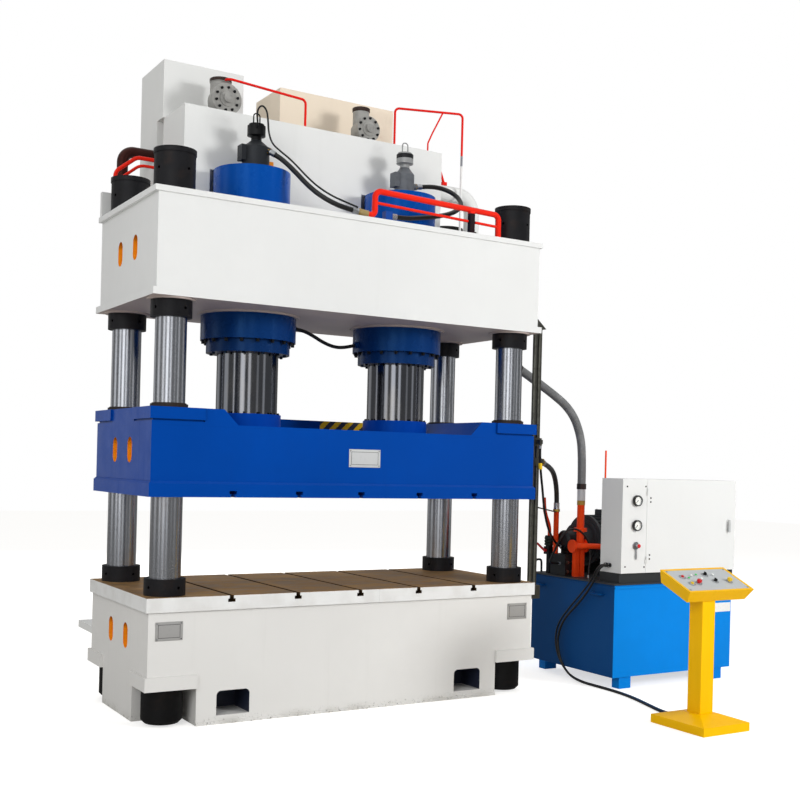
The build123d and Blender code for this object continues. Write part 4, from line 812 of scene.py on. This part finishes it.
def fillTankFront(fill):
    form = bmesh.new()
    opening = asin(fill["face"] / fill["radius"])
    for place in fill["places"]:
        outline = []
        for step in range(fill["steps"] + 1):
            angle = opening + (pi - 2 * opening) * step / fill["steps"]
            outline.append((place + fill["radius"] * cos(angle), fill["radius"] * sin(angle)))
        rings = [[form.verts.new((x, y, level)) for x, y in outline] for level in (fill["low"], fill["high"])]
        for ring in rings:
            form.faces.new(ring)
        for step in range(len(outline)):
            after = (step + 1) % len(outline)
            form.faces.new((rings[0][step], rings[0][after], rings[1][after], rings[1][step]))
    finishForm("tank_front_fill", form, "whitePaint", flat=True)


fillTankFront(tankFill)


# Screws of flanges, rings and valves

firstScrew = 0.2
screwRings = {
    "flange_screws": {"centres": ((-0.667, 0, 2.758), (0.667, 0, 2.758)), "axis": (0, 0, -1), "circle": 0.3425,
                      "count": 18, "across": 0.030, "height": 0.022},
    "ring_screws": {"centres": ((-0.667, 0, 2.202), (0.667, 0, 2.202)), "axis": (0, 0, 1), "circle": 0.250,
                    "count": 14, "across": 0.018, "height": 0.012, "body": "slide"},
    "valve_disc_screws": {"centres": ((-0.790, 0.246, 4.682), (0.490, 0.246, 4.672)), "axis": (0, -1, 0),
                          "circle": 0.090, "count": 10, "across": 0.018, "height": 0.012},
    "valve_base_screws": {"centres": ((-0.790, 0.390, 4.577), (0.490, 0.390, 4.577)), "axis": (0, 0, 1),
                          "circle": 0.106, "count": 8, "across": 0.018, "height": 0.014},
    "bell_screws": {"centres": ((2.512, -0.150, 1.200),), "axis": (-1, 0, 0), "circle": 0.115, "count": 8,
                    "across": 0.020, "height": 0.012},
}


def onCircle(centre, axis, radius, count):
    turn = Matrix.Translation(centre) @ facing(axis)
    angles = [firstScrew + 2 * pi * step / count for step in range(count)]
    return [turn @ Vector((radius * cos(angle), radius * sin(angle), 0)) for angle in angles]


for name, ring in screwRings.items():
    spots = []
    for centre in ring["centres"]:
        spots += onCircle(centre, ring["axis"], ring["circle"], ring["count"])
    bolts(name, spots, ring["axis"], "boltBlack", ring["across"], ring["height"],
          ring.get("body", "root"))
print("screws set")


# Cast valves on the filling tank, in place of the plainer solids

tankValves = {
    "base": 4.555, "depth": 0.390, "foot": ((0, 0), (0.122, 0), (0.122, 0.022), (0.074, 0.022), (0.074, 0.050)),
    # shares of the body's radius and heights above the middle of the body
    "belly": ((0.93, -0.045), (1, -0.025), (1, 0.025), (0.95, 0.040)),
    "stubFoot": 0.054, "rim": 0.005, "rimHeight": 0.030, "rimSlope": 0.004, "edge": 0.003,
    "face": 0.246, "thickness": 0.026, "boss": 0.018, "backEdge": 0.002,
    # radii and heights of the hub above the disc's face
    "hub": ((0.062, 0), (0.058, 0.008), (0.036, 0.014), (0.036, 0.034), (0.022, 0.040), (0, 0.040)), "sides": 56,
    "left": {"place": -0.790, "level": 4.682, "disc": 0.124, "body": 0.096, "stub": 0.082, "top": 4.870},
    "right": {"place": 0.490, "level": 4.672, "disc": 0.108, "body": 0.084, "stub": 0.070, "top": 4.877},
}


def castValve(form, valves, valve):
    belly = valve["level"] - valves["base"]
    high = valve["top"] - valves["base"]
    rimFoot = high - valves["rimHeight"]
    rim = valve["stub"] + valves["rim"]
    edge = valves["edge"]
    body = list(valves["foot"])
    body += [(valve["body"] * share, belly + rise) for share, rise in valves["belly"]]
    body += [(valve["stub"], belly + valves["stubFoot"]), (valve["stub"], rimFoot - valves["rimSlope"]),
             (rim, rimFoot), (rim, high - edge), (rim - edge, high), (0, high)]
    lathe(form, body, (valve["place"], valves["depth"], valves["base"]), (0, 0, 1), valves["sides"])
    face = valves["depth"] - valves["face"]
    back = face - valves["thickness"]
    boss = valve["disc"] - valves["boss"]
    disc = [(0, 0), (boss, 0), (boss, back), (valve["disc"] - valves["backEdge"], back),
            (valve["disc"], back + valves["backEdge"]), (valve["disc"], face - edge), (valve["disc"] - edge, face)]
    disc += [(radius, face + rise) for radius, rise in valves["hub"]]
    lathe(form, disc, (valve["place"], valves["depth"], valve["level"]), (0, -1, 0), valves["sides"])


form = bmesh.new()
for side in ("left", "right"):
    castValve(form, tankValves, tankValves[side])
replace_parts(finishForm("tank_valve_castings", form, "valveGrey"), "tank_valves")


# Ground columns and rams, rounder than their solids, with the rings cut under the upper clamp nuts

groundBars = {
    # radii and heights above the foot, then radii and heights below the top
    "column": {"sides": ("front_left", "rear_left", "front_right", "rear_right"), "finish": "columnChrome",
               "body": "root", "facets": 128, "foot": ((0, 0), (0.102, 0), (0.110, 0.008)),
               "grooves": (2.7300, 2.7780), "top": ((0.110, -0.008), (0.102, 0), (0, 0))},
    "ram": {"sides": ("left", "right"), "finish": "ramChrome", "body": "slide", "facets": 144,
            "foot": ((0, 0), (0.235, 0)), "grooves": (),
            "top": ((0.235, -0.110), (0.2447, -0.110), (0.2447, 0), (0, 0))},
}
groove = {"outer": 0.110, "inner": 0.1075, "width": 0.005}


def groundBar(kind, side, bar):
    low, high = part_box(kind + "_" + side)
    profile = list(bar["foot"])
    for level in bar["grooves"]:
        cut = level - low[2]
        end = cut + groove["width"]
        profile += [(groove["outer"], cut), (groove["inner"], cut), (groove["inner"], end), (groove["outer"], end)]
    profile += [(radius, high[2] - low[2] + rise) for radius, rise in bar["top"]]
    foot = ((low[0] + high[0]) / 2, (low[1] + high[1]) / 2, low[2])
    piece = turnedPiece(kind + "_bar_" + side, profile, [foot], (0, 0, 1), bar["finish"],
                        bar["body"], bar["facets"])
    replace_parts(piece, kind + "_" + side)


for kind, bar in groundBars.items():
    for side in bar["sides"]:
        groundBar(kind, side, bar)
print("columns and rams turned")


# Prefill valves: orange solenoid plug on the left one

solenoidPlug = {"low": (-0.566, -0.084, 4.114), "high": (-0.528, -0.040, 4.154), "bevel": 0.004}
block("solenoid_plug", solenoidPlug["low"], solenoidPlug["high"], solenoidPlug["bevel"], "orangePlastic")


# Cable that loops over the left valve's cup and follows its hose down to the pipe

capCable = {
    "radius": 0.007, "length": 1.356, "finish": "cableBlack", "slot": "cable_black", "stiffness": "limp",
    "route": ((-690, -124.5, 4385), (-700, -158, 4400), (-711, -166, 4455), (-706, -166, 4515), (-670, -166, 4548),
              (-632, -166, 4515), (-620, -166, 4440), (-614, -170, 4340), (-586, -180, 4262), (-533, -212, 4210),
              (-488, -274, 4150), (-443, -342, 4075), (-396, -412, 3990), (-336, -482, 3910), (-250, -545, 3844),
              (-150, -587, 3803), (-60, -600, 3777))}
layHose("cap_cable", capCable)


# Drain hose of the pump: out of the block's side, round and down into the lid

drainHose = {
    "radius": 0.009, "length": 1.162, "finish": "cableBlack", "slot": "cable_black", "stiffness": "medium",
    "route": ((2312, -200, 1000), (2230, -200, 1000), (2150, -240, 1020), (2112, -340, 1100), (2112, -410, 1210),
              (2160, -430, 1300), (2250, -430, 1330), (2350, -430, 1300), (2430, -430, 1220), (2462, -430, 1110),
              (2450, -430, 1000), (2440, -430, 890))}
layHose("drain_hose", drainHose)
endHose("drain_hose", drainHose)


# Yellow marking sleeve on the pilot hose

hoseSleeve = {"foot": (1.7308, -0.6159, 1.838), "way": (-0.0096, -0.0052, 0.0500),
              "profile": ((0, 0), (0.014, 0), (0.0155, 0.004), (0.0155, 0.048), (0.014, 0.052), (0, 0.052))}
turnedPiece("hose_sleeve", hoseSleeve["profile"], [hoseSleeve["foot"]], hoseSleeve["way"], "sleeveYellow")


# Red vent plug on the pale pipe bend

ventPlug = {"place": (1.258, 0.250, 4.3075), "base": (0.022, 0.022, 0.030), "bevel": 0.003, "foot": 0.012,
            "lean": radians(-16), "profile": ((0, 0), (0.015, 0), (0.004, 0.132), (0, 0.132)), "sides": 16}
form = bmesh.new()
centre = Vector(ventPlug["place"])
reach = Vector(ventPlug["base"])
brick(form, centre - Vector((reach.x, reach.y, 0)), centre + reach, ventPlug["bevel"])
lathe(form, ventPlug["profile"], centre + Vector((0, 0, ventPlug["foot"])),
      (sin(ventPlug["lean"]), 0, cos(ventPlug["lean"])), ventPlug["sides"])
finishForm("vent_plug", form, "railPaint")


# Lug of the tank's lid, red cross pipe over the manifold, vent pipe above the ball valve, and brace rod

pipes = {
    "lid_lug": {
        "radius": 0.010, "finish": "motorPaint", "slot": "motor_black",
        "route": ((2312, 160, 889.5), (2312, 160, 975), (2318, 160, 1000), (2348, 160, 1006), (2378, 160, 1000),
                  (2384, 160, 975), (2384, 160, 889.5))},
    "cross_pipe": {
        "radius": 0.025, "finish": "riserPaint", "slot": "pipe_red",
        "route": ((2372, -309, 1160), (2372, -380, 1168), (2374, -430, 1171), (2420, -434, 1170),
                  (2590, -433, 1162), (2638, -432, 1160), (2640, -432, 1110), (2640, -432, 889.5))},
    "vent_pipe": {
        "radius": 0.017, "finish": "riserPaint", "slot": "pipe_red",
        "route": ((2372, 40, 1131), (2372, 40, 1260), (2366, 36, 1320), (2296, 10, 1425), (2272, 0, 1500),
                  (2268, 0, 1580))},
    "brace_pipe": {
        "radius": 0.006, "finish": "steelPipe", "slot": "side_steel",
        "route": ((1738, -555, 1519), (2315, -112, 1455))},
}
for name, pipe in pipes.items():
    wire(name, pipe["route"], pipe["radius"], pipe["finish"])
print("pipes laid")


# Hazard strip under the slide's rear edge

hazardStrip = {"low": (0.876, 0.600, 1.542), "high": (1.351, 0.6575, 1.5858), "bevel": 0.003}
block("hazard_strip", hazardStrip["low"], hazardStrip["high"], hazardStrip["bevel"], "hazard", "slide")


# Pressure gauges: dial, divisions and black bezel

gauges = {"places": ((2.526, -0.925, 1.590), (2.526, -0.925, 1.380)), "dialDepth": 0.017, "dialRadius": 0.0372,
          "dialSkin": 0.00015, "divisions": 24, "sweep": 270, "start": 225, "tickDepth": 0.00012, "tickEnd": 0.93,
          # inner end and half width of a long and of a short division
          "long": (0.70, 0.0007), "short": (0.80, 0.0004), "longEvery": 4, "sides": 40,
          "bezel": ((0.0385, 0.0255), (0.0385, 0.0278), (0.0446, 0.0278), (0.0466, 0.0235), (0.0466, 0.003),
                    (0.0421, 0.003), (0.0421, 0.0255), (0.0385, 0.0255))}
outward = (0, -1, 0)


def makeGauges(gauge):
    skin = gauge["dialDepth"] + gauge["dialSkin"]
    radius = gauge["dialRadius"]
    disc = ((0, gauge["dialDepth"]), (radius, gauge["dialDepth"]), (radius, skin), (0, skin))
    turnedPiece("gauge_dials", disc, gauge["places"], outward, "dialWhite", sides=gauge["sides"])
    turnedPiece("gauge_bezels", gauge["bezel"], gauge["places"], outward, "blackPlastic",
                sides=gauge["sides"])
    form = bmesh.new()
    for place in gauge["places"]:
        turn = Matrix.Translation(place) @ Matrix.Rotation(radians(90), 4, "X")
        for step in range(gauge["divisions"] + 1):
            angle = radians(gauge["start"] - gauge["sweep"] * step / gauge["divisions"])
            inner, half = gauge["short" if step % gauge["longEvery"] else "long"]
            brick(form, (radius * inner, -half, skin), (radius * gauge["tickEnd"], half, skin + gauge["tickDepth"]),
                  turn=turn @ Matrix.Rotation(angle, 4, "Z"))
    finishForm("gauge_divisions", form, "needleBlack", flat=True)


makeGauges(gauges)


# Needle valve, screws and cable grommets of the cabinet, label of the oil tank

needleValve = {"place": (2.526, -0.925, 1.208),
               "boss": ((0.0128, 0.0002), (0.034, 0.0002), (0.034, 0.005), (0.028, 0.008), (0.0128, 0.008),
                        (0.0128, 0.0002)),
               "cap": ((0, 0.0382), (0.0158, 0.0382), (0.0166, 0.040), (0.0166, 0.046), (0.012, 0.049), (0, 0.049)),
               "drop": ((2526, -931, 1180), (2526, -934, 1140), (2526, -934, 1092)), "dropRadius": 0.007}
turnedPiece("needle_valve_boss", needleValve["boss"], [needleValve["place"]], outward, "zincPlate")
turnedPiece("knob_cap", needleValve["cap"], [needleValve["place"]], outward, "redPlastic", "knob", 24)
wire("needle_valve_drop", needleValve["drop"], needleValve["dropRadius"], "zincPlate")

cabinetScrews = {"face": -0.925, "across": 0.012, "height": 0.003,
                 "bay_screws": ("root", ((2.417, 1.710), (2.628, 1.712), (2.412, 1.031), (2.628, 1.025))),
                 "hinge_screws": ("door", ((2.688, 1.614), (2.688, 1.580), (2.688, 1.126), (2.688, 1.092)))}
for name in ("bay_screws", "hinge_screws"):
    body, spots = cabinetScrews[name]
    bolts(name, [(x, cabinetScrews["face"], z) for x, z in spots], outward, "boltBlack", cabinetScrews["across"],
          cabinetScrews["height"], body, roundHead, thinWasher)

grommet = {"places": ((2.346, -0.790, 1.035), (2.346, -0.748, 1.035)),
           "profile": ((0.0153, 0), (0.0190, 0), (0.0190, 0.0215), (0.0153, 0.0215), (0.0153, 0))}
turnedPiece("cable_grommets", grommet["profile"], grommet["places"], (1, 0, 0), "blackPlastic")
tankLabel = {"low": (3.457, -0.9262, 0.600), "high": (3.690, -0.9251, 0.680)}
block("tank_label", tankLabel["low"], tankLabel["high"], 0, "labelWhite", flat=True)
print("cabinet dressed")


# Motor: rings of the fan grille, cover screws of the terminal box; plugs of the manifold

fanGrille = {"place": (3.3325, -0.150, 1.200), "radii": (0.030, 0.055, 0.080, 0.105, 0.130), "half": 0.0025,
             "rise": 0.004, "sides": 40}
form = bmesh.new()
for radius in fanGrille["radii"]:
    inner = radius - fanGrille["half"]
    outer = radius + fanGrille["half"]
    lathe(form, ((inner, 0), (inner, fanGrille["rise"]), (outer, fanGrille["rise"]), (outer, 0), (inner, 0)),
          fanGrille["place"], (1, 0, 0), fanGrille["sides"])
finishForm("fan_grille", form, "boltBlack")

terminalBox = {"centre": (2.902, -0.150, 1.477), "reach": (0.082, 0.062), "across": 0.012, "height": 0.004}
x, y, z = terminalBox["centre"]
spots = [(x + side * terminalBox["reach"][0], y + end * terminalBox["reach"][1], z)
         for side in (-1, 1) for end in (-1, 1)]
bolts("terminal_screws", spots, (0, 0, 1), "zincPlate", terminalBox["across"], terminalBox["height"],
      sides=roundHead, washer=thinWasher)
manifold = {"face": -0.262, "columns": (2.340, 2.392, 2.472), "rows": (0.930, 1.012), "across": 0.026,
            "height": 0.012}
spots = [(x, manifold["face"], z) for x in manifold["columns"] for z in manifold["rows"]]
bolts("manifold_plugs", spots, outward, "steelPipe", manifold["across"], manifold["height"])


# Control stand: collars, lamp lenses and corner screws on the tilted panel

standPanel = {"centre": (2.060, -2.180, 1.064), "tilt": radians(24), "face": -0.0006,
              "lenses": {"green": ((-0.172, 0.020), (-0.066, 0.060)),
                         "white": ((-0.118, 0.052), (-0.060, 0.004), (0.100, 0.052))},
              "lens": ((0, 0.0092), (0.0096, 0.0092), (0.0090, 0.0128), (0.006, 0.0152), (0, 0.0160)),
              "collars": ((-0.211, 0.046), (-0.202, -0.050), (0.184, -0.042), (-0.132, -0.046), (0.030, 0.062),
                          (0.052, -0.030)),
              "collar": ((0.0215, 0.0001), (0.0262, 0.0001), (0.0262, 0.0030), (0.0240, 0.0042), (0.0215, 0.0042),
                         (0.0215, 0.0001)),
              "screws": ((-0.290, -0.131), (0.290, -0.131), (-0.290, 0.131), (0.290, 0.131)),
              "across": 0.011, "height": 0.003}


def onPanel(place, height):
    tilt = standPanel["tilt"]
    away = Vector((0, -sin(tilt), cos(tilt)))
    along = Vector((0, cos(tilt), sin(tilt)))
    return Vector(standPanel["centre"]) + Vector((place[0], 0, 0)) + along * place[1] + away * height


def panelSpots(places):
    return [onPanel(place, standPanel["face"]) for place in places]


panelAway = onPanel((0, 0), 1) - onPanel((0, 0), 0)
for label, places in standPanel["lenses"].items():
    turnedPiece("lamp_lenses_" + label, standPanel["lens"], panelSpots(places), panelAway, label + "Lamp",
                sides=20)
turnedPiece("button_collars", standPanel["collar"], panelSpots(standPanel["collars"]), panelAway, "zincPlate",
            sides=28)
bolts("panel_screws", panelSpots(standPanel["screws"]), panelAway, "zincPlate", standPanel["across"],
      standPanel["height"], sides=roundHead, washer=thinWasher)
print("control stand dressed")


# World, light and floor

studio = {
    "openLight": 0.52, "backdrop": 1.0, "reflectionDark": 0.17, "reflectionTop": 0.85,
    # bright panels seen in a chrome bar: soft edge as shares of the width; place from -1 to 1, half width, level
    "panelEdge": (0.5, 1.1), "topLight": (0.55, 0.8),
    "panels": ((-0.90, 0.05, 0.6), (-0.62, 0.08, 0.95), (-0.32, 0.07, 1.5), (-0.08, 0.09, 2.0),
               (0.14, 0.05, 1.6), (0.40, 0.04, 0.55), (0.60, 0.04, 0.8), (0.86, 0.04, 0.65)),
    "lamps": {
        "key": {"place": (7.5, -10.5, 5.0), "aim": (0.6, 0, 2.0), "size": 3.0, "power": 900},
        "fill": {"place": (-9.0, -7.0, 6.0), "aim": (0, 0, 2.4), "size": 5.0, "power": 410},
        "back": {"place": (3.0, 11.5, 6.5), "aim": (0.5, 0, 2.2), "size": 5.0, "power": 640}},
    "floorSize": 60, "floorGlow": 0.62, "floorColour": "#D8D6D2", "floorShade": 0.97, "floorReflection": 0.30,
}


def rays(nodes, kind):
    return nodes.add("ShaderNodeLightPath", output="Is " + kind + " Ray")


def lightWorld(values):
    world = bpy.data.worlds.new("studio")
    world.use_nodes = True
    scene.world = world
    sky = Nodes(world.node_tree)
    x, y, z = sky.split(sky.add("ShaderNodeTexCoord", output="Generated"))
    ahead = x * -cameraForward.x + y * -cameraForward.y
    aside = x * cameraRight.x + y * cameraRight.y
    angle = aside.sum("ARCTAN2", ahead)
    level = None
    for place, halfWidth, bright in values["panels"]:
        centre = 2 * asin(place)
        half = 2 * asin(min(1, abs(place) + halfWidth)) - abs(centre)
        edge = [half * share for share in values["panelEdge"]]
        panel = (1 - sky.span(abs(angle - centre), *edge)) * bright
        level = panel if level is None else level.most(panel)
    level = level.most(values["reflectionDark"])
    high = sky.span(z, *values["topLight"])
    level = level * (1 - high) + high * values["reflectionTop"]
    seen = rays(sky, "Camera")
    shiny = rays(sky, "Glossy").most(rays(sky, "Transmission"))
    strength = seen * values["backdrop"] + (1 - seen) * (shiny * level + (1 - shiny) * values["openLight"])
    glow = sky.add("ShaderNodeBackground", {"Color": (1, 1, 1, 1), "Strength": strength})
    sky.add("ShaderNodeOutputWorld", {"Surface": glow})


def addLamp(name, lamp):
    data = bpy.data.lights.new(name, "AREA")
    data.energy = lamp["power"]
    data.size = lamp["size"]
    item = bpy.data.objects.new(name, data)
    scene.collection.objects.link(item)
    back = Vector(lamp["place"]) - Vector(lamp["aim"])
    item.matrix_world = Matrix.Translation(lamp["place"]) @ facing(back)
    item.visible_camera = False
    item.visible_glossy = False


def layFloor(values):
    half = values["floorSize"] / 2
    data = bpy.data.meshes.new("floor")
    data.from_pydata([(-half, -half, 0), (half, -half, 0), (half, half, 0), (-half, half, 0)], [], [(0, 1, 2, 3)])
    floor = bpy.data.objects.new("floor", data)
    scene.collection.objects.link(floor)
    material = bpy.data.materials.new("floor")
    material.use_nodes = True
    tree = Nodes(material.node_tree)
    place = tree.add("ShaderNodeTexCoord", output="Object")
    drift = tree.add("ShaderNodeTexNoise", {"Vector": place, "Scale": 0.4, "Detail": 2})
    pale = paint(values["floorColour"])
    colour = tree.blend(drift, pale, shaded(pale, values["floorShade"]))
    matt = tree.add("ShaderNodeBsdfDiffuse", {"Color": colour})
    glow = tree.add("ShaderNodeEmission",
                    {"Color": (1, 1, 1, 1), "Strength": rays(tree, "Camera") * values["floorGlow"]})
    both = tree.add("ShaderNodeAddShader", {0: matt, 1: glow})
    dim = tree.add("ShaderNodeEmission", {"Color": colour, "Strength": values["floorReflection"]})
    choice = tree.add("ShaderNodeMixShader", {0: rays(tree, "Glossy"), 1: both, 2: dim})
    tree.add("ShaderNodeOutputMaterial", {"Surface": choice})
    data.materials.append(material)


lightWorld(studio)
for name, lamp in studio["lamps"].items():
    addLamp(name, lamp)
layFloor(studio)
print("studio lit")


# Bare name plates with their rivets

namePlates = {
    "slide_plate": {"finish": "platePale", "body": "slide", "centre": (0.030, -0.640, 1.886), "size": (0.270, 0.135)},
    "bed_plate_left": {"centre": (-1.482, -0.665, 0.670), "size": (0.196, 0.130)},
    "bed_plate_right": {"centre": (1.482, -0.665, 0.670), "size": (0.196, 0.130)},
}
plateShape = {"thickness": 0.003, "bevel": 0.0012, "rivetInset": 0.012, "rivetAcross": 0.009, "rivetHeight": 0.002,
              "rivetFoot": 0.0003, "rivetSides": 12, "rivetWasher": 0.0006, "borderInset": 1.7,
              "borderHalf": 0.0012, "borderFront": 0.0006, "borderFoot": 0.0005}


def namePlate(name, plate, shape):
    x, y, z = plate["centre"]
    wide, tall = [size / 2 for size in plate["size"]]
    body = plate.get("body", "root")
    face = y - shape["thickness"]
    block(name, (x - wide, face, z - tall), (x + wide, y, z + tall), shape["bevel"],
          plate.get("finish", "plateGrey"), body)
    border = bmesh.new()
    inset = shape["rivetInset"] * shape["borderInset"]
    half = shape["borderHalf"]
    front = face - shape["borderFront"]
    foot = face + shape["borderFoot"]
    for side in (-1, 1):
        level = z + side * (tall - inset)
        brick(border, (x - wide + inset, front, level - half), (x + wide - inset, foot, level + half))
        edge = x + side * (wide - inset)
        brick(border, (edge - half, front, z - tall + inset), (edge + half, foot, z + tall - inset))
    finishForm(name + "_border", border, "boltBlack", body, flat=True)
    inset = shape["rivetInset"]
    places = [(x + across * (wide - inset), face + shape["rivetFoot"], z + up * (tall - inset))
              for across in (-1, 1) for up in (-1, 1)]
    bolts(name + "_rivets", places, outward, "zincPlate", shape["rivetAcross"], shape["rivetHeight"],
          body, shape["rivetSides"], shape["rivetWasher"])


for plateName, plate in namePlates.items():
    namePlate(plateName, plate, plateShape)
print("name plates fixed")
